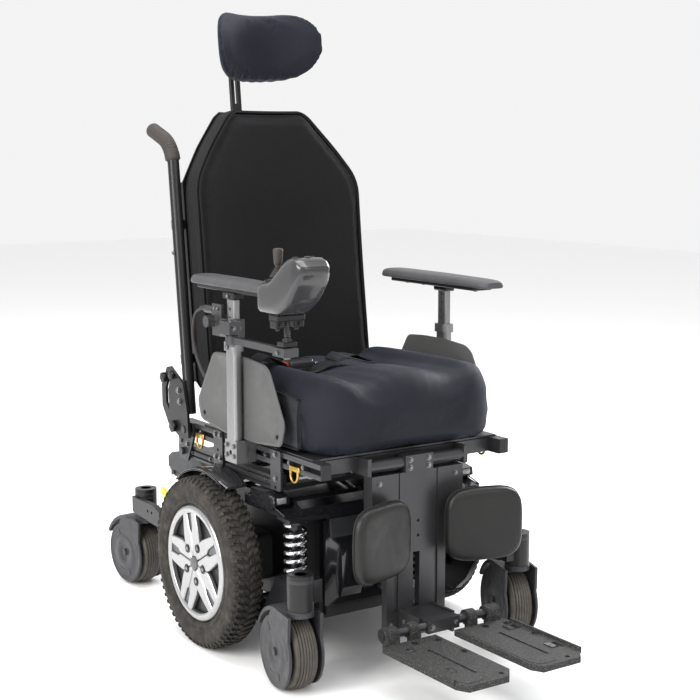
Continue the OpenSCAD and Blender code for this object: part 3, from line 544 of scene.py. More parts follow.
# --------------------------------------------------------------- casters
SW = {"front_right": (-266, -340, -7), "front_left": (266, -340, -17), "rear_right": (-205, 440, 5), "rear_left": (205, 440, -4)}
for key, (x, y, deg) in SW.items():
    ca, sa = cos(radians(deg)), sin(radians(deg))
    def L(a, b, c, x=x, y=y, ca=ca, sa=sa):       # fork frame -> row frame
        return (x + a * ca - b * sa, y + a * sa + b * ca, c)
    def hub(a, b, h, L=L):
        return L(h, 40 + b, 76 + a)
    sh = Shell()
    prof = [(48, 18), (56, 22.4), (63, 24), (69, 22.6), (72.8, 19.5)]
    tr = []
    for g in range(-3, 4):
        c = g * 5.6
        top = 76 - 0.012 * c * c
        tr += [(top - 0.5, c - 2.2), (top, c - 1.5), (top, c + 1.5), (top - 0.5, c + 2.2)]
        if g < 3:
            tr += [(top - 2.8, c + 2.35), (top - 2.8, c + 3.25)]
    tr = [(r, h) for r, h in tr]
    sh.lathe([(48, -18), (56, -22.4), (63, -24), (69, -22.6), (72.8, -19.5)] + tr + list(reversed(prof)), hub, 84)
    sh.out("caster_tyre_" + key, "caster_rubber", "caster_" + key, ("caster_" + key,), "caster_rubber", 40)
    sh = Shell()
    sh.lathe([(6.2, -24), (14, -24), (19, -9), (40, -8), (43, -18), (48.2, -18.5), (48.2, 18.5), (43, 18), (40, 8), (19, 9), (14, 24), (6.2, 24)], hub, 60)
    sh.out("caster_hub_" + key, "grey_plastic", "caster_" + key, (), "grey_plastic", 35)
    # fork cover: a hooded arch, round cheeks with a raised rim and three swept reliefs
    sh = Shell()
    for g in (-1, 1):
        P = lambda a, b, h, g=g: L(g * (31 + h), 40 + b, 76 + a)
        out = []
        for i in range(72):
            t = 2 * pi * i / 72
            out.append((70.5 * cos(t), 70.5 * sin(t)))
        rings = []
        for q, h in ((0.985, 0), (1, 0.8), (1, 4.2), (0.985, 5.4), (0.93, 6.0), (0.90, 5.2), (0.62, 4.8), (0.585, 5.9), (0.30, 5.9), (0.27, 4.6), (0.02, 4.6)):
            rings.append([P(a * q, b * q, h) for a, b in out])
        sh.rings(rings)
        for k in range(3):
            t0 = 0.5 + k * 2.1
            rings = []
            for i in range(10):
                t = t0 + i * 0.11
                r0, r1 = 44 - i * 0.6, 60 - i * 0.2
                rings.append([P(r0 * cos(t), r0 * sin(t), 4.4), P(r1 * cos(t), r1 * sin(t), 4.4), P((r1 - 1.5) * cos(t), (r1 - 1.5) * sin(t), 5.7), P((r0 + 1.5) * cos(t), (r0 + 1.5) * sin(t), 5.7)])
            sh.rings(rings)
        sh.disc([(0, 4), (9, 4), (9, 6.4), (7.5, 7.2), (0, 7.2)], P, 6, 1)
    arch = []
    for i in range(15):
        t = radians(118 - i * 6.5)
        arch.append((40 + 84 * cos(t), 76 + 84 * sin(t)))
    rings = []
    for b, c in arch:
        d = Vector((b - 40, c - 76)).normalized()
        rings.append([L(-37, b - d.x * 5, c - d.y * 5), L(-36.5, b + d.x * 2.5, c + d.y * 2.5), L(-30, b + d.x * 4.5, c + d.y * 4.5), L(30, b + d.x * 4.5, c + d.y * 4.5), L(36.5, b + d.x * 2.5, c + d.y * 2.5), L(37, b - d.x * 5, c - d.y * 5)])
    sh.rings(rings)
    sh.disc([(0, 154.5), (26, 154.5), (26, 163.5), (24.5, 165.4), (0, 165.4)], lambda a, b, h: L(a, b, h), 40)
    for g in (-1, 1):
        sh.prism([(-24, 152), (-24, 160), (16, 162), (52, 158), (64, 146), (56, 120), (20, 106), (-22, 112)], g * 30.6 if g > 0 else -36.8, 36.8 if g > 0 else -30.6, lambda a, b, h: L(h, a, b), 0.8)
    sh.out("fork_cover_" + key, ["barrel_grey", "bolt_black"], "fork_" + key, ("fork_" + key,), "grey_plastic", 35)
    # barrel on the arm: housing with a shoulder ring and a domed cap
    s = -1 if "right" in key else 1
    arm = key.replace("_", "_arm_")
    sh = Shell()
    P = lambda a, b, h: (x + a, y + b, h)
    sh.disc([(0, 167), (23, 167), (25.4, 168.5), (25.4, 176), (24.6, 177), (24.6, 219), (25.6, 220), (25.6, 226), (0, 226)], P, 48)
    sh.disc([(0, 225.8), (25.2, 225.8), (25.2, 229), (22, 232.6), (12, 234), (0, 234)], P, 48, 1)
    sh.out("barrel_" + key, ["barrel_grey", "cap_brown"], arm, (), "frame_black", 35)

# springs: real helix on the damper
for s, sd in ((-1, "right"), (1, "left")):
    sh = Shell()
    pts = []
    turns, z0, z1 = 5.6, 197.5, 300.5
    for i in range(220):
        t = i / 219
        a = 2 * pi * turns * t
        zz = z0 + (z1 - z0) * (0.04 * min(1, t * 8) + 0.92 * t + 0.04 * max(0, t * 8 - 7))
        pts.append((s * 213 + 19.6 * cos(a), -238 + 19.6 * sin(a), zz))
    sh.tube(pts, 4.2, 12)
    P = lambda a, b, h, s=s: (s * 213 + a, -238 + b, h)
    sh.disc([(0, 190.5), (24, 190.5), (24, 193), (15, 194.6), (13, 202), (9, 203), (9, 260), (6, 261), (6, 303), (0, 303)], P, 32, 1)
    sh.disc([(0, 290), (13, 290), (13, 300), (24, 302.4), (24, 306.8), (0, 306.8)], P, 32, 1)
    o = sh.out("coil_spring_" + sd, ["spring_chrome", "bolt_black"], "base", ("front_spring_" + sd,), "spring_chrome", 40)
    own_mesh(o)

# ------------------------------------------------------ hard CAD carried
for n, w in (("base_frame", 1.2), ("tilt_base", 0.7), ("seat_frame", 0.7), ("arm_receivers", 0.8), ("back_frame", 0.9),
             ("front_arm_right", 1.5), ("front_arm_left", 1.5), ("rear_arm_right", 1.5), ("rear_arm_left", 1.5),
             ("freewheel_lever_right", 0.9), ("freewheel_lever_left", 0.9), ("legrest_carrier", 1.2), ("legrest_slide", 1.0),
             ("joystick_bracket", 0.9), ("joystick_link", 1.0), ("headrest_bar", 0.7), ("rear_cover", 2.2), ("drive_motors", 1.2),
             ("arm_post_right", 0.6), ("arm_post_left", 0.6), ("base_shroud", 1.6), ("back_shell", 0.6),
             ("footplate_right", 1.1), ("footplate_left", 1.1), ("tilt_actuator", 1.2), ("lamps", 1.0)):
    rounded(n, None, w)
for n in ("power_pack", "tilt_actuator_rod", "joystick_boot", "power_button", "buckle_button"):
    dress(n)

# ------------------------------------------------------------ seat cushion
TOP = [(0, 585), (30, 583), (60, 576), (90, 569), (112, 567), (136, 573), (162, 590), (188, 602), (205, 593), (216, 566)]
def cush_top(x, y):
    a = abs(x)
    t = lerp(TOP, a)
    k = max(0.0, min(1.0, (y + 330) / 390))        # front 0, rear 1
    well = 20 * max(0.0, 1 - (a / 150) ** 2) * max(0.0, 1 - abs(k - 0.72) / 0.38)
    pommel = 4 * max(0.0, 1 - (a / 90) ** 2) * max(0.0, 1 - abs(k - 0.10) / 0.35)
    return t - well + pommel - 6 * k
def seat_cushion():
    y0, y1, zb = -356, 80, 446
    sh = Shell()
    rings = []
    ys = []
    m = 56
    for i in range(m + 1):
        t = i / m
        ys.append(y0 + (y1 - y0) * (0.5 - 0.5 * cos(pi * t)) if False else y0 + (y1 - y0) * (t ** 1.35 if t < 0.5 else t ** 1.35 + (t - t ** 1.35) * (t - 0.5) * 2))
    for y in ys:
        df = (y - y0) / 66.0
        dr = (y1 - y) / 40.0
        ff = 1.0 if df >= 1 else math.sqrt(max(0.0, 1 - (1 - df) ** 2.4))
        fr = 1.0 if dr >= 1 else math.sqrt(max(0.0, 1 - (1 - dr) ** 3))
        fw = 1.0 if y - y0 >= 120 else math.sqrt(max(0.0, 1 - (1 - (y - y0) / 120) ** 2.3))
        w = 216 - (1 - fw) * 86 - (1 - fr) * 26
        lo = zb + (1 - ff) * 22
        ring = []
        for j in range(41):                          # across the top, left to right
            u = -1 + 2 * j / 40
            x = w * u
            zt = cush_top(x * 216 / w * 0.985, y)
            e = 1 - abs(u) ** 9
            side = 540 + 14 * (1 - abs(u))
            z = side + (zt - side) * (0.25 + 0.75 * e)
            z = lo + 40 + (z - lo - 40) * (0.28 + 0.72 * ff) * (0.80 + 0.20 * fr)
            ring.append((x, y, z))
        for q, dz in ((1.012, 0.72), (1.022, 0.50), (1.018, 0.28), (1.0, 0.10), (0.97, 0.0)):
            ring.append((w * q, y, lo + (ring[40][2] - lo) * dz))
        for j in range(1, 10):
            ring.append((w * (0.97 - 1.94 * j / 10), y, lo))
        for q, dz in ((0.97, 0.0), (1.0, 0.10), (1.018, 0.28), (1.022, 0.50), (1.012, 0.72)):
            ring.append((-w * q, y, lo + (ring[0][2] - lo) * dz))
        rings.append(ring)
    sh.rings(rings)
    o = sh.out("seat_pad", "seat_fabric", "seat", ("seat_cushion",), "seat_fabric", 0)
    simulate(o, 7, 3.0, 0.006, 16)
    subsurf(o)
    return o
seat = seat_cushion()
# mesh side panels, seam cords and pull loops on the cushion
for s in (-1, 1):
    sh = Shell()
    rows = []
    for i in range(26):
        t = i / 25
        y = -262 + 318 * t
        rows.append([(s * (223.6 - 3.0 * (abs(v - 0.5) * 2) ** 2), y, 452 + (92 + 14 * sin(pi * t)) * v) for v in [k / 8 for k in range(9)]])
    outer = [[p for p in r] for r in rows]
    loop = []
    for r in outer:
        loop.append(r + [(p[0] - s * 9.0, p[1], p[2]) for p in reversed(r)])
    sh.rings(loop)
    sh.out("cushion_mesh_" + ("right" if s < 0 else "left"), "mesh_side", "seat", (), "seat_fabric", 50)
    sh = Shell()
    sh.tube([(s * (222.6), -266 + 324 * t / 30, 549 + 14 * sin(pi * t / 30)) for t in range(31)], 2.0, 8)
    sh.tube(catmull([(s * 221, -268, 520), (s * 226, -279, 508), (s * 227, -283, 484), (s * 224, -276, 462), (s * 220, -267, 466)], 24), 1.6, 8)
    sh.tube([(s * (222.8), -266 + 322 * t / 30, 452) for t in range(31)], 2.0, 8)
    sh.out("cushion_piping_" + ("right" if s < 0 else "left"), "boxing_fabric", "seat", (), "seat_fabric", 50)

# -------------------------------------------------------------- backrest
def densify(P, k):
    out = []
    for i, p in enumerate(P):
        q = P[(i + 1) % len(P)]
        m = max(1, int(math.hypot(q[0] - p[0], q[1] - p[1]) / k))
        out += [(p[0] + (q[0] - p[0]) * j / m, p[1] + (q[1] - p[1]) * j / m) for j in range(m)]
    return out
def round_outline(P, r):
    """a polygon with its corners rounded by arcs of about r"""
    out = []
    n = len(P)
    for i in range(n):
        a, b, c = Vector(P[i - 1]), Vector(P[i]), Vector(P[(i + 1) % n])
        rr = min(r, (a - b).length * 0.45, (c - b).length * 0.45)
        p, q = b + (a - b).normalized() * rr, b + (c - b).normalized() * rr
        for k in range(6):
            t = k / 5
            out.append(tuple(p * (1 - t) ** 2 + b * 2 * t * (1 - t) + q * t * t))
    return out
COFFIN = [(-196, 88), (196, 88), (205, 102), (205, 528), (157, 602), (102, 670), (86, 682), (-86, 682), (-102, 670), (-157, 602), (-205, 528), (-205, 102)]
def sag(x, d): return d * (1 - (x / 208) ** 2)
def back_cushion():
    line = densify(round_outline(COFFIN, 34), 14)
    cx, cz = 0, 370
    def ring(q, depth, grow=0.0, zq=None):
        out = []
        for x, z in line:
            dx, dz = x - cx, z - cz
            ln = math.hypot(dx, dz)
            xx, zz = cx + dx * q - dx / ln * grow, cz + dz * q - dz / ln * grow
            y = depth + sag(xx, 44)
            out.append(back(xx, y, zz))
        return out
    sh = Shell()
    front = -72
    rings = [ring(1, -6, 2), ring(1, -10, 0), ring(1, -24, -0.5), ring(1, -44, -0.5), ring(1, -60, 1), ring(1, front + 4, 4), ring(1, front - 1, 9), ring(1, front - 2.5, 16)]
    for q, d in ((0.86, -5.0), (0.74, -7.0), (0.6, -8.5), (0.45, -9.5), (0.3, -10), (0.15, -10), (0.04, -10)):
        rings.append(ring(q, front + d * 0.0 + d * 0.6 + 0.0 + (1 - q) * 12, 14 * q))
    inner = [ring(0.96, -5.5, 0), ring(0.6, -5.5, 0), ring(0.2, -5.5, 0), ring(0.03, -5.5, 0)]
    sh.rings(list(reversed(inner)) + rings)
    o = sh.out("back_pad", "back_fabric", "back", ("back_cushion",), "back_fabric", 0)
    simulate(o, 6, 3.0, 0.006, 16)
    subsurf(o)
    # piping round the front panel and a second seam at the rear of the boxing
    for nm, q, d, g, r in (("front", 1, -70.5, 4.2, 2.1), ("rear", 1, -14, -0.8, 1.8)):
        p = ring(q, d, g)
        sh = Shell()
        P = [Vector(v) for v in p]
        m = len(P)
        rings = []
        for i in range(m):
            t = (P[(i + 1) % m] - P[i - 1]).normalized()
            u = t.cross(Vector(back(0, 1, 0)) - Vector(back(0, 0, 0))).normalized()
            w = t.cross(u)
            rings.append([P[i] + r * (u * cos(2 * pi * k / 8) + w * sin(2 * pi * k / 8)) for k in range(8)])
        sh.rings(rings, closed=True)
        sh.out("back_piping_" + nm, "boxing_fabric", "back", (), "back_fabric", 60)
    # boxing strip in its own ribbed cloth, over the cushion's side
    sh = Shell()
    a = [ring(1, d, g) for d, g in ((-16, -1.2), (-30, -2.0), (-46, -2.0), (-62, -0.6))]
    b = [ring(1, d, g) for d, g in ((-62, 4), (-46, 4), (-30, 4), (-16, 4))]
    m = len(line)
    sh.rings([[a[0][i], a[1][i], a[2][i], a[3][i], b[0][i], b[1][i], b[2][i], b[3][i]] for i in range(m)], closed=True)
    sh.out("back_boxing", "boxing_fabric", "back", (), "back_fabric", 60)
back_cushion()
# bolts of the shell and screws of the canes
sh = Shell()
ax = Vector(back(0, 1, 0)) - Vector(back(0, 0, 0))
for s in (-1, 1):
    for z in (150, 440):
        hexbolt(sh, back(s * 216, 16, z), ax, 4.5, 3)
        hexbolt(sh, back(s * 238.5, 0, z - 60), (s, 0, 0), 4.0, 3)
    for p in ((8, 60), (10, 84)):
        hexbolt(sh, back(s * 245, p[0], p[1]), (s, 0, 0), 6, 4)
for z in (500, 530, 560, 590):
    hexbolt(sh, back(0, 114.2, z), ax, 4.2, 2.4)
sh.out("back_bolts", "bolt_zinc", "back", (), "post_silver", 35)
sh = Shell()
for s in (-1, 1):
    for p, r in (((40, 6), 13), ((70, 112), 11), ((30, 118), 10)):
        knob(sh, back(s * 245.2, p[0], p[1]), (s, 0, 0), r, 9)
sh.out("recline_knobs", "bolt_black", "back", (), "frame_black", 35)
# push grip: ribbed sleeve on the bent right cane
s = -1
if True:
    def G(t):                                     # t: degrees round the bend, then mm along the straight
        if t <= 64:
            a = radians(t)
            return Vector(back(s * 225, 70 * (1 - cos(a)), 566 + 70 * sin(a)))
        a = radians(64)
        return Vector(back(s * 225, 70 * (1 - cos(a)) + (t - 64) * sin(a), 566 + 70 * sin(a) + (t - 64) * cos(a)))
    pts, rad = [], []
    n = 110
    for i in range(n + 1):
        t = 8 + (64 + 55 - 8) * i / n
        pts.append(G(t))
    def rr(u):
        i = u * n
        if i < 3: return 13.0 + i * 1.0
        if u > 0.97: return 16.2 * math.sqrt(max(0.02, 1 - ((u - 0.97) / 0.03) ** 2))
        if 0.12 < u < 0.88: return 15.6 + 0.7 * (0.5 + 0.5 * cos(i * 2 * pi / 5))
        return 16.3
    sh = Shell()
    sh.tube(pts, rr, 28)
    sh.out("grip_" + ("right" if s < 0 else "left"), "grip_rubber", "back", ("push_grip",), "grip_rubber", 60)

# -------------------------------------------------------------- headrest
def headrest():
    sh = Shell()
    rings = []
    n, k = 44, 40
    for i in range(n + 1):
        u = -1 + 2 * i / n
        x = 130 * sin(u * pi / 2)
        a = abs(x) / 130
        yf, yr = -50 + 36 - 73 * a ** 2.2, -50 + 88 - 98 * a ** 2.2
        lim = math.sqrt(max(0.0, 1 - a ** 7))
        hh = 76 * (0.52 + 0.48 * math.sqrt(max(0.0, 1 - a ** 4))) * max(0.10, lim)
        th = (yr - yf) / 2 * max(0.12, lim)
        yc = (yf + yr) / 2
        zc = 825 + (4 if x > 0 else 0) * a
        ring = []
        for j in range(k):
            t = 2 * pi * j / k
            c, q = cos(t), sin(t)
            e = 0.62
            ring.append(back(x, yc + th * math.copysign(abs(c) ** e, c), zc + hh * math.copysign(abs(q) ** 0.72, q)))
        rings.append(ring)
    sh.rings(rings)
    o = sh.out("headrest_cushion", "head_fabric", "headrest_pad", ("headrest_pad",), "head_fabric", 0)
    simulate(o, 4, 3.0, 0.005, 14)
    # gathers along the lower rear edge
    for v in o.data.vertices:
        p = v.co * 1000
        low = max(0.0, 1 - abs(p.z - 1172) / 26)
        if low > 0:
            v.co.y += 0.0016 * low * sin(p.x * 0.42 + 1.7 * sin(p.x * 0.11))
            v.co.z += 0.0010 * low * sin(p.x * 0.27)
    subsurf(o)
    sh = Shell()
    sh.box((-26, 62, 804), (26, 68, 846), 2, 0, lambda x, y, z: back(x, y - 24, z))
    for g in (-1, 1):
        sh.box((g * 13.5 - 2.5, 40, 813), (g * 13.5 + 2.5, 68, 837), 1, 0, back)
        hexbolt(sh, back(g * 16.5, 60, 825), (g, 0, 0), 6, 4, 1)
    sh.out("headrest_bracket", ["frame_black", "bolt_black"], "headrest_pad", (), "frame_black", 35)
headrest()
sh = Shell()
for z in (668, 678):
    hexbolt(sh, back(-14, 128, z), ax, 4.5, 3)
knob(sh, back(23, 100, 670), (1, 0, 0), 12, 12, 1)
sh.out("headrest_lock", ["bolt_zinc", "bolt_black"], "back", (), "frame_black", 35)

# -------------------------------------------------------------- armrests
def arm_pad(s, sd):
    up = 12 if s < 0 else 0
    sh = Shell()
    rings = []
    n = 46
    for i in range(n + 1):
        u = -1 + 2 * i / n
        y = (-95 if s < 0 else -97.5) + (175 if s < 0 else 186.5) * sin(u * pi / 2)
        e = math.sqrt(max(0.0, 1 - abs(sin(u * pi / 2)) ** 12))
        hw = 31.5 * (0.55 + 0.45 * e)
        drop = 3.0 * max(0, -sin(u * pi / 2))
        zt, zb = 756.5 + up - drop - 5 * (1 - e), 736.5 + up
        sec = [(-0.86, 0), (-0.97, 0.10), (-1.0, 0.28), (-0.97, 0.5), (-0.86, 0.78), (-0.7, 0.92), (-0.42, 0.985), (0, 1), (0.42, 0.985), (0.7, 0.92), (0.86, 0.78), (0.97, 0.5), (1.0, 0.28), (0.97, 0.10), (0.86, 0), (0.4, 0), (-0.4, 0)]
        rings.append([(s * 244 + hw * a, y, zb + (zt - zb) * b) for a, b in sec])
    sh.rings(rings)
    o = sh.out("armrest_" + sd, "pad_vinyl", "arm_" + sd, ("arm_pad_" + sd,), "pad_vinyl", 0)
    subsurf(o, 2)
    sh = Shell()
    sh.box((s * 244 - 24, -244, 729.5 + up), (s * 244 + 24, 50, 737.5 + up), 1.6)
    sh.box((s * post - 12, -112, 716 + up), (s * post + 12, -66, 730 + up), 2.5)
    for y in (-220, -40, 20):
        hexbolt(sh, (s * 244, y, 729.6 + up), (0, 0, -1), 4.5, 3, 1)
    hexbolt(sh, (s * (post + 12), -90, 722 + up), (s, 0, 0), 4, 3, 1)
    sh.out("armrest_plate_" + sd, ["frame_black", "bolt_zinc"], "arm_" + sd, (), "frame_black", 35)
post = 262
for s, sd in ((-1, "right"), (1, "left")):
    arm_pad(s, sd)
    # receiver collar, clamp screws
    sh = Shell()
    for z, r in ((640, 4), (612, 0)):
        if r:
            hexbolt(sh, (s * 276, -90, 635), (s, 0, 0), 5, 3)
    for z, y in ((416, -104), (416, -76), (436, -104), (436, -76)):
        hexbolt(sh, (s * 272, y, z), (s, 0, 0), 4.2, 3.2)
    sh.out("receiver_bolts_" + sd, "bolt_zinc", "seat", (), "post_silver", 35)

# ----------------------------------------------------------- side guards
GP = [(20, 610), (-40, 614), (-113, 614), (-184, 608), (-203, 598), (-259, 500), (-245, 456), (-154, 448), (-29, 448), (77, 462), (90, 501)]
for s in (-1, 1):
    sh = Shell()
    out = round_outline(GP, 12)
    cx, cz = -85, 530
    P = lambda a, b, h, s=s: (s * (245 + h), a, b)
    q = lambda k: [(cx + (a - cx) * k, cz + (b - cz) * k) for a, b in out]
    rings = [[P(a, b, h) for a, b in q(k)] for k, h in ((0.99, 0), (1, 0.9), (1, 3.2), (0.992, 4.4), (0.95, 5.0), (0.93, 5.0), (0.915, 4.0), (0.5, 4.0), (0.05, 4.0))]
    sh.rings(rings)
    # strap that ties the guard to the rail
    sh.box((min(s * 226.9, s * 245.1), -30, 449), (max(s * 226.9, s * 245.1), -10, 460), 0.8)
    sh.box((min(s * 226.9, s * 232), -30, 438), (max(s * 226.9, s * 232), -10, 449.2), 0.8)
    for z in (480, 560):
        sh.box((min(s * 248, s * 252), -100, z), (max(s * 248, s * 252), -80, z + 20), 0.8)
    for y, z in ((60, 478), (-232, 474), (-60, 464)):
        hexbolt(sh, P(y, z, 4.2), (s, 0, 0), 3.6, 1.8, 1)
    sh.out("side_guard_" + ("right" if s < 0 else "left"), ["guard_grey", "bolt_black"], "seat", ("side_guards",) if s < 0 else (), "grey_plastic", 40)

# -------------------------------------------------------------- joystick
JX = -285
def pod():
    lowt = [(-430, 812), (-424, 792), (-384, 743), (-350, 723), (-279, 723)]
    up = [(-430, 812), (-424, 825), (-398, 833), (-372, 825), (-322, 785), (-279, 777)]
    def lin(tab, y):
        for (a, p), (b, q) in zip(tab, tab[1:]):
            if y <= b:
                return p + (q - p) * (y - a) / (b - a)
        return tab[-1][1]
    def sm(tab, y):
        return sum(lin(tab, max(-430, min(-279, y + d))) for d in (-9, -5, 0, 5, 9)) / 5
    sh = Shell()
    rings = []
    n = 50
    for i in range(n + 1):
        t = i / n
        y = -429.5 + 150 * (0.5 - 0.5 * cos(pi * t))
        f, r = (y + 430) / 30, (-279 - y) / 14
        ef = math.sqrt(max(0.0, 1 - (1 - min(1, f)) ** 2.6)); er = math.sqrt(max(0.0, 1 - (1 - min(1, r)) ** 3))
        hw = 37.5 * (0.62 + 0.38 * ef) * (0.80 + 0.20 * er) * (0.93 + 0.07 * sin(pi * t))
        zl, zh = sm(lowt, y), sm(up, y)
        mid, hh = (zl + zh) / 2, max(2.0, (zh - zl) / 2) * (0.75 + 0.25 * er)
        ring = []
        for j in range(44):
            a = 2 * pi * j / 44
            c, q = cos(a), sin(a)
            ring.append((JX + hw * math.copysign(abs(c) ** 0.34, c), y, mid + hh * math.copysign(abs(q) ** 0.42, q)))
        rings.append(ring)
    sh.rings(rings)
    o = sh.out("joystick_housing", "joy_plastic", "joystick_pod", (), "joy_plastic", 50)
    # glossy key panel, follows the upper slope
    sh = Shell()
    rows = []
    for i in range(16):
        y = -418 + 80 * i / 15
        z = sm(up, y)
        e = math.sqrt(max(0.0, 1 - abs(2 * i / 15 - 1) ** 5))
        rows.append([(JX + 28.5 * v * (0.72 + 0.28 * e), y, z + 0.4 - 1.1 * abs(v) ** 3) for v in (-1, -0.8, -0.5, 0, 0.5, 0.8, 1)] + [(JX + 28.5 * v * (0.72 + 0.28 * e), y, z - 4) for v in (1, 0, -1)])
    sh.rings(rows)
    sh.out("joystick_keypad", "gloss_black", "joystick_pod", (), "joy_plastic", 45)
    sh = Shell()
    for k, (dx, y) in enumerate(((-17, -366), (17, -366), (-17, -386), (17, -386), (0, -400))):
        z = sm(up, y)
        sl = math.atan2(sm(up, y + 4) - sm(up, y - 4), 8)
        P = lambda a, b, h, dx=dx, y=y, z=z, sl=sl: (JX + dx + a, y + b * cos(sl) - h * sin(sl), z + b * sin(sl) + h * cos(sl))
        sh.disc([(0, -2), (6.0, -2), (6.0, 1.2), (5.2, 1.9), (0, 2.1)], P, 24)
    for dx in (-27, 27):
        hexbolt(sh, (JX + dx, -288, 779.2), (0, 0.1, 1), 2.4, 0.8, 1, False)
    sh.out("joystick_keys", ["grip_rubber", "bolt_zinc"], "joystick_pod", (), "joy_plastic", 40)
    # collar that the bellows sits in, clamp, stem and hinge block
    sh = Shell()
    Pc = lambda a, b, h: (JX + a, -300 + b, h)
    sh.lathe([(18, 776), (24, 776), (26, 781), (25.6, 783.6), (20.4, 784.4), (18, 783)], Pc, 44)
    sh.box((JX - 30, -346, 712), (JX + 30, -314, 724), 2)
    for g in (-1, 1):
        sh.box((JX + g * 20 - 10, -342, 699), (JX + g * 20 + 10, -318, 714), 1.6)
        hexbolt(sh, (JX + g * 20, -330, 699), (0, 0, -1), 4, 4, 1)
        hexbolt(sh, (JX + g * 20, -342, 706), (0, -1, 0), 3.4, 3, 1)
    sh.disc([(0, 641), (5.2, 641), (6, 642)] + [(6 - (0.7 if k % 2 else 0), 642 + 2.0 * k) for k in range(1, 36)] + [(6, 714), (0, 714)], lambda a, b, h: (JX + a, -330 + b, h), 20, 1)
    sh.box((JX - 15, -342, 663.5), (JX + 15, -318, 673), 1.4)
    sh.disc([(0, 673), (10, 673), (10, 679), (0, 679)], lambda a, b, h: (JX + a, -330 + b, h), 6, 1)
    sh.out("joystick_mount", ["frame_black", "bolt_black"], "joystick_pod", ("joystick_pod",), "joy_metal", 35)
    # short lead from the pod to the clamp
    sh = Shell()
    pth = catmull([(JX + 8, -283, 742), (JX + 8, -264, 740), (JX + 10, -252, 726), (JX + 10, -262, 708), (JX + 12, -296, 702), (JX + 14, -317, 706)], 30)
    sh.tube(pth, 3.0, 10)
    sh.disc([(0, -284), (6.4, -284), (6.4, -276), (4.4, -262), (0, -262)], lambda a, b, h: (JX + 8 + a, h, 742 + b), 20)
    sh.out("joystick_lead", "grip_rubber", "joystick_pod", (), "grip_rubber", 60)
pod()
sh = Shell()
P = lambda a, b, h: (JX + a, -300 + b, h)
prof = [(0, 789.2), (15.4, 789.5)]
for k in range(5):
    r = 15.6 - 1.9 * k
    z = 790.2 + 3.3 * k
    prof += [(r, z), (r, z + 1.2), (r - 2.9, z + 2.4), (r - 2.6, z + 3.2)]
prof += [(5.6, 807), (5.6, 811), (7.6, 812.5), (8.3, 820), (9.4, 834), (9.6, 838), (8.2, 841), (4.5, 841.9), (0, 842)]
sh.disc(prof, P, 44)
sh.out("joystick_knob", "grip_rubber", "joystick_stick", ("joystick_stick",), "joy_plastic", 50)
# bracket screws, link pivots
sh = Shell()
for y in (-52, -40):
    hexbolt(sh, (-276, y, 706), (-1, 0, 0), 3.6, 2.6)
hexbolt(sh, (-264, -112, 672), (0, -1, 0), 5, 4)
hexbolt(sh, (-285, -125, 690), (0, 0, 1), 7, 5)
hexbolt(sh, (-290, -140, 677), (0, -1, 0), 4, 4)
sh.out("bracket_bolts", "bolt_zinc", "arm_right", (), "joy_metal", 35)
sh = Shell()
hexbolt(sh, (JX, -330, 645), (0, 0, -1), 7, 4)
hexbolt(sh, (JX - 16, -322, 653), (-1, 0, 0), 4, 3)
hexbolt(sh, (JX, -125, 644.5), (0, 0, -1), 6, 3)
sh.out("link_bolts", "bolt_zinc", "joystick_link", (), "joy_metal", 35)
# cable held between the strain relief and the side guard
CP = [(-263, 16, 700), (-262, 44, 697), (-258, 76, 684), (-252, 98, 660), (-248, 108, 630), (-245, 104, 600), (-242, 92, 572), (-240, 70, 548), (-239, 42, 530), (-239, 12, 520)]
sh = Shell()
sh.tube(catmull(CP, 70), 3.4, 12)
Pr = lambda a, b, h: (-263 + a, h, 700 + b)
sh.disc([(0, 15.5), (8, 15.5)] + [(8.2 - 0.42 * k - (0.7 if k % 2 else 0), 16 + 2.4 * k) for k in range(11)] + [(3.6, 43), (0, 43)], Pr, 22)
sh.out("control_cable", "grip_rubber", "arm_right", ("joystick_cable",), "grip_rubber", 60)

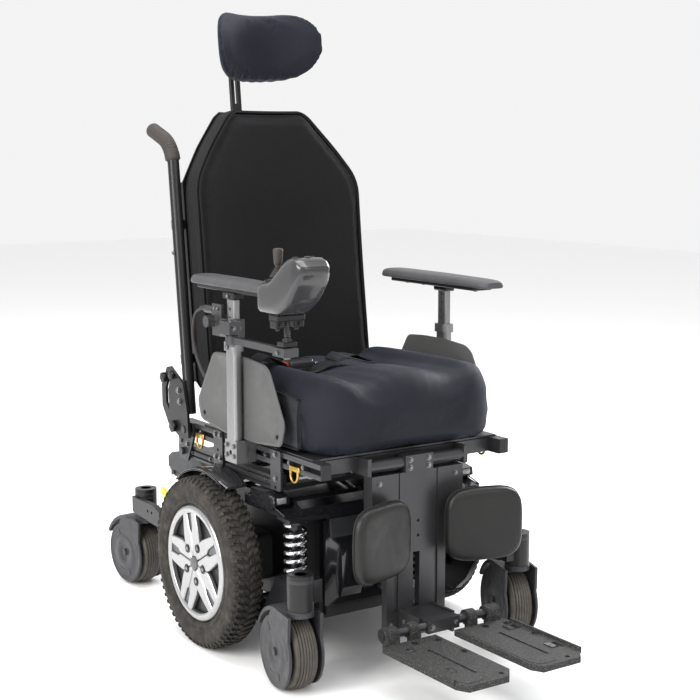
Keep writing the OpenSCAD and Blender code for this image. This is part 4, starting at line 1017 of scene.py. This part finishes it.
# -------------------------------------------------------------- lap belt
def belt():
    sh = Shell()
    n = 60
    rings = []
    for i in range(n + 1):
        x = -214 + 284 * i / n
        zc = max(cush_top(x, -86), cush_top(x - 6, -86), cush_top(x + 6, -86))
        zz = TOPC(x) + 1.6
        yo = 3.5 * sin(x * 0.021)
        tw = 1.0 * sin(x * 0.06)
        sec = [(-23, 0), (-22, 1.3), (0, 1.9), (22, 1.3), (23, 0), (22, -0.6), (0, -0.2), (-22, -0.6)]
        rings.append([(x, -86 + yo + a, zz + b + tw * a / 23) for a, b in sec])
    sh.rings(rings)
    # a loose doubled-back tail of webbing
    rings = []
    for i in range(44):
        t = i / 43
        x = -30 + 96 * t
        y = -84 + 20 * sin(t * 3.0) + 6 * t
        z = TOPC(x) + 4.2 + 6.5 * sin(pi * t) * (0.5 + 0.5 * cos(t * 9)) ** 2
        rings.append([(x, y + a, z + b + 0.10 * a * sin(5 * t)) for a, b in [(-23, 0), (-22, 1.3), (22, 1.3), (23, 0), (22, -0.6), (-22, -0.6)]])
    sh.rings(rings)
    sh.out("lap_belt_webbing", "belt_webbing", "seat", ("lap_belt",), "belt_webbing", 60)
    sh = Shell()
    P = lambda a, b, h: (-118 + a, -86 + b, h)
    out = round_outline([(-21, -19), (34, -15), (40, -9), (40, 9), (34, 15), (-21, 19)], 5)
    rings = []
    for q, h in ((0.94, 579), (1, 580.5), (1, 591), (0.95, 594.2), (0.80, 595.4), (0.03, 595.6)):
        rings.append([P(a * q, b * q, h + 0.03 * a * (h < 594) * 0) for a, b in out])
    sh.rings(rings)
    for k in range(3):
        sh.box((-96 + 5 * k, -97, 595), (-94 + 5 * k, -75, 596.6), 0.4)
    sh.box((-80, -106, 584), (-74, -66, 590), 1.6, 1)
    sh.out("belt_buckle", ["joy_plastic", "bolt_zinc"], "seat", (), "belt_webbing", 40)
    sh = Shell()
    sh.box((-143, -96.8, 581.2), (-138.6, -75.2, 591.2), 1.4)
    sh.out("belt_button_cap", "button_red", "buckle_button", (), "button_red", 40)
def TOPC(x):
    tab = [(0, 586), (40, 576), (75, 565), (110, 562), (135, 571), (165, 594), (190, 605), (208, 596), (222, 566)]
    a = abs(x)
    for (p, u), (q, v) in zip(tab, tab[1:]):
        if a <= q:
            return u + (v - u) * (a - p) / (q - p) + 4.6
    return 570
belt()

# --------------------------------------------------------------- legrest
for s, sd in ((-1, "right"), (1, "left")):
    sh = Shell()
    ca, sa = cos(radians(-s * 17)), sin(radians(-s * 17))
    def P(a, b, h, s=s, ca=ca, sa=sa):
        X, Y = a, -h
        return (s * 123 + X * ca - Y * sa, -404 + X * sa + Y * ca, 287 + b)
    base_line = []
    for i in range(64):
        t = 2 * pi * i / 64
        c, q = cos(t), sin(t)
        base_line.append((81 * math.copysign(abs(c) ** 0.52, c), 73.5 * math.copysign(abs(q) ** 0.52, q)))
    def rg(q, h, dish=0.0):
        return [P(a * q, b * q, h - dish * max(0.0, 1 - q) ** 0.5) for a, b in base_line]
    rings = [rg(0.04, -12.5), rg(0.7, -12.5), rg(0.9, -12.5), rg(0.965, -11), rg(0.995, -6.5), rg(1.0, -1), rg(0.995, 5), rg(0.965, 9.6), rg(0.90, 12.3), rg(0.8, 13.4), rg(0.6, 13.6), rg(0.35, 12.6), rg(0.12, 12.0), rg(0.03, 12.0)]
    sh.rings(rings)
    o = sh.out("calf_cushion_" + sd, "calf_vinyl", "calf_pad_" + sd, ("calf_pad_" + sd,), "pad_vinyl", 0)
    subsurf(o)
    sh = Shell()
    seam = rg(1.003, -4.5)
    Pv = [Vector(v) for v in seam]
    m = len(Pv)
    rr_ = []
    for i in range(m):
        t = (Pv[(i + 1) % m] - Pv[i - 1]).normalized()
        u = t.cross(Vector(P(0, 0, 1)) - Vector(P(0, 0, 0))).normalized()
        w = t.cross(u)
        rr_.append([Pv[i] + 1.3 * (u * cos(2 * pi * k / 8) + w * sin(2 * pi * k / 8)) for k in range(8)])
    sh.rings(rr_, closed=True)
    sh.out("calf_seam_" + sd, "calf_vinyl", "calf_pad_" + sd, (), "pad_vinyl", 60)
    sh = Shell()
    sh.disc([(0, 293), (10.6, 293), (10.6, 317), (0, 317)], lambda a, b, h, s=s: (s * 112 + a, -366 + b, h), 28)
    sh.box((s * 112 - 7, -393, 294), (s * 112 + 7, -366, 316), 1.5)
    sh.box((s * 118 - 16, -395, 282), (s * 118 + 16, -388, 326), 1.5, 0)
    sh.out("calf_hinge_" + sd, "frame_black", "calf_pad_" + sd, (), "frame_black", 35)
    # grip strips, clips and screws on the footplates
    sh = Shell()
    sh.prism([(s * 85.5 + a, -562.5 + b) for a, b in ((-58, 116), (-10, 116), (-10, -52), (-10, -112), (-46, -112), (-58, -92))], 97.6, 99.0, lambda a, b, h: (a, b, h), 0.4)
    sh.prism([(s * 85.5 + a, -562.5 + b) for a, b in ((10, 116), (58, 116), (58, -90), (38, -112), (10, -112))], 97.6, 99.0, lambda a, b, h: (a, b, h), 0.4) if False else None
    for y in (-490, -610):
        sh.box((s * 118 - 7, y - 12, 96), (s * 118 + 7, y + 12, 100.2), 0.6, 1)
        hexbolt(sh, (s * 118, y, 100), (0, 0, 1), 3, 1.2, 1, False)
    for a, b in ((-48, 96), (0, 104), (48, 96), (-52, 20), (52, 20)):
        sh.lathe([(5.2, 97.5), (7.4, 97.5), (7.4, 98.7), (5.2, 98.7)], lambda p, q, h, a=a, b=b, s=s: (s * 85.5 + a + p, -562.5 + b + q, h), 24, 2)
    sh.out("footplate_trim_" + sd, ["foot_plate", "bolt_zinc", "bolt_black"], "footplate_" + sd, (), "foot_plate", 35)
sh = Shell()
for z in (318, 292):
    hexbolt(sh, (0, -346, z), (0, -1, 0), 5, 3)
for x in (-22, 22):
    hexbolt(sh, (x, -355, 424), (0, -1, 0), 4.4, 3)
    hexbolt(sh, (x, -355, 409), (0, -1, 0), 4.4, 3)
for x in (-92, 92):
    for z in (262, 384):
        hexbolt(sh, (x, -351, z), (0, -1, 0), 4.0, 2.6)
sh.out("legrest_bolts", "bolt_zinc", "legrest_carrier", (), "rail_anodised", 35)
sh = Shell()
for x in (-28, 28):
    hexbolt(sh, (x, -437, 112), (0, -1, 0), 4.6, 3)
for x in (-60, 60):
    hexbolt(sh, (x, -346, 96), (0, -1, 0), 4.6, 3)
for g in (-1, 1):
    hexbolt(sh, (g * 43, -396, 106), (g, 0, 0), 5, 3)
    hexbolt(sh, (g * 43, -366, 106), (g, 0, 0), 5, 3)
sh.out("footplate_hinge_bolts", "bolt_zinc", "legrest_slide", (), "rail_anodised", 35)

# ------------------------------------------------ rails, base, fasteners
sh = Shell()
for s in (-1, 1):
    for y in (26, 46):
        for z in (384, 432):
            hexbolt(sh, (s * 231.9, y, z), (s, 0, 0), 5, 3)
    for z in (384, 432):
        hexbolt(sh, (s * 231.9, -196, z), (s, 0, 0), 5, 3)
    hexbolt(sh, (s * 231.9, 172, 388), (s, 0, 0), 5, 3)
    hexbolt(sh, (s * 231.9, 202, 392), (s, 0, 0), 5, 3)
    for y in (-290, -240, -150, -60, 120):
        hexbolt(sh, (s * 227, y, 423), (s, 0, 0), 3.6, 2.2)
    # rail end plugs
    sh.box((min(s * 204, s * 226.4), -353.5, 409), (max(s * 204, s * 226.4), -350.4, 437.4), 1, 1)
sh.out("seat_rail_bolts", ["bolt_zinc", "bolt_black"], "seat", (), "rail_anodised", 35)
# tie-down brackets
sh = Shell()
for s, y in ((-1, -262), (-1, 120), (1, -262), (1, 120)):
    ring = []
    for k in range(17):
        a = pi * k / 16
        ring.append((s * 229.5, y + 13 * cos(a), 404 - 15 * sin(a)))
    sh.tube([(s * 229.5, y + 13, 414)] + ring + [(s * 229.5, y - 13, 414)], 2.6, 10)
    sh.box((min(s * 227.1, s * 230.5), y - 18, 410), (max(s * 227.1, s * 230.5), y + 18, 420), 0.8)
sh.out("tie_down_loops", "tie_gold", "seat", (), "rail_anodised", 45)
sh = Shell()
for s in (-1, 1):
    for y in (-150, -80, 80, 160):
        hexbolt(sh, (s * 226.3, y, 371), (s, 0, 0), 3.6, 2.2)
    hexbolt(sh, (s * 240, 190, 371), (s, 0, 0), 8, 3) if False else None
    for y in (-70, 60):
        hexbolt(sh, (s * 240.4, y, 104), (s, 0, 0), 7, 0.8, 0, False)
sh.out("tilt_rail_bolts", "bolt_zinc", "base", (), "rail_anodised", 35)
# ribs and vents on the front housing, bright edge of the shroud, headlamps
sh = Shell()
for k in range(7):
    z = 150 + 14 * k
    for x in (-52, 52):
        sh.box((x - 12, -258 + 0.05 * k, z), (x + 12, -245, z + 6), 1.2)
for s in (-1, 1):
    sh.prism([(-252, 262), (-256, 270), (-249, 300), (-246, 300), (-246, 262)], min(s * 60, s * 140), max(s * 60, s * 140), lambda a, b, h: (h, a, b), 0.8)
sh.out("front_grille", "grey_plastic", "base", (), "gloss_black", 35)
sh = Shell()
for s in (-1, 1):
    pts = catmull([(s * 241, -92, 335.4), (s * 241.4, -150, 332.6), (s * 241.4, -205, 329.2), (s * 240.6, -243, 319.6)], 24)
    sh.tube(pts, 1.4, 8)
sh.out("shroud_edge", "fender_grey", "base", (), "gloss_black", 60)
for s, sd in ((-1, "right"), (1, "left")):
    # fender strip over the tyre, sitting on the CAD fender
    sh = Shell()
    rings = []
    for i in range(41):
        t = radians(51 + 66.5 * i / 40)
        c, q = cos(t), sin(t)
        e = min(1, 8 * min(i / 40, 1 - i / 40) + 0.25)
        sec = [(237, 189.6), (237, 193.4), (240, 195.2), (262, 196.4 * 1.0), (284 - 6 * (1 - e), 194.6), (290 - 8 * (1 - e), 191.6), (290 - 8 * (1 - e), 189.2), (262, 189.2)]
        rings.append([(s * x, r * c, 178 + r * q) for x, r in sec])
    sh.rings(rings)
    sh.out("fender_" + sd, "fender_grey", "base", (), "gloss_black", 50)
    sh = Shell()
    P = lambda a, b, h, s=s: (s * 229 + a, -211 - h, 342 + b)
    rings = []
    for q, h in ((1.0, 0), (1.0, 2.5), (0.9, 4.2), (0.5, 5.0), (0.05, 5.2)):
        rings.append([P(11 * q * math.copysign(abs(cos(t)) ** 0.5, cos(t)), 6 * q * math.copysign(abs(sin(t)) ** 0.5, sin(t)), h) for t in [2 * pi * k / 28 for k in range(28)]])
    sh.rings(rings)
    sh.out("headlamp_lens_" + sd, "lamp_lens", "base", (), "lamp_lens", 40)
    sh = Shell()
    sh.box((min(s * 152, s * 190), 331, 286), (max(s * 152, s * 190), 339.6, 296), 2.4)
    sh.out("marker_lamp_" + sd, "lamp_amber", "base", (), "lamp_lens", 40)

# ----------------------------------------------------------- floor, light
me = bpy.data.meshes.new("floor")
me.from_pydata([(-9, -9, 0), (9, -9, 0), (9, 12, 0), (-9, 12, 0)], [], [(0, 1, 2, 3)])
me.materials.append(MAT["floor"])
fl = bpy.data.objects.new("floor", me)
bpy.context.scene.collection.objects.link(fl)
def area(name, loc, aim, size, power, col=(1, 1, 1), sy=None):
    d = bpy.data.lights.new(name, "AREA")
    d.shape = "RECTANGLE"
    d.size, d.size_y = size, sy or size
    d.energy = power
    d.color = col
    o = bpy.data.objects.new(name, d)
    bpy.context.scene.collection.objects.link(o)
    o.location = loc
    o.rotation_euler = (Vector(aim) - Vector(loc)).to_track_quat("-Z", "Y").to_euler()
    return o
area("key_left", (-3.4, -0.7, 2.1), (0, 0, 0.6), 1.8, 165, (1, 0.99, 0.97), 2.4)
area("front_soft", (0.3, -4.2, 2.6), (0, 0, 0.6), 2.6, 50, (1, 1, 1), 1.8)
area("right_rim", (3.2, 0.8, 2.0), (0, 0, 0.7), 1.6, 110, (0.98, 0.99, 1), 2.2)
area("top_soft", (0, 0.2, 4.0), (0, 0, 0.5), 3.0, 140)
w = bpy.data.worlds.new("studio")
bpy.context.scene.world = w
w.use_nodes = True
w.node_tree.nodes["Background"].inputs[0].default_value = (1, 1, 1, 1)
w.node_tree.nodes["Background"].inputs[1].default_value = 0.9
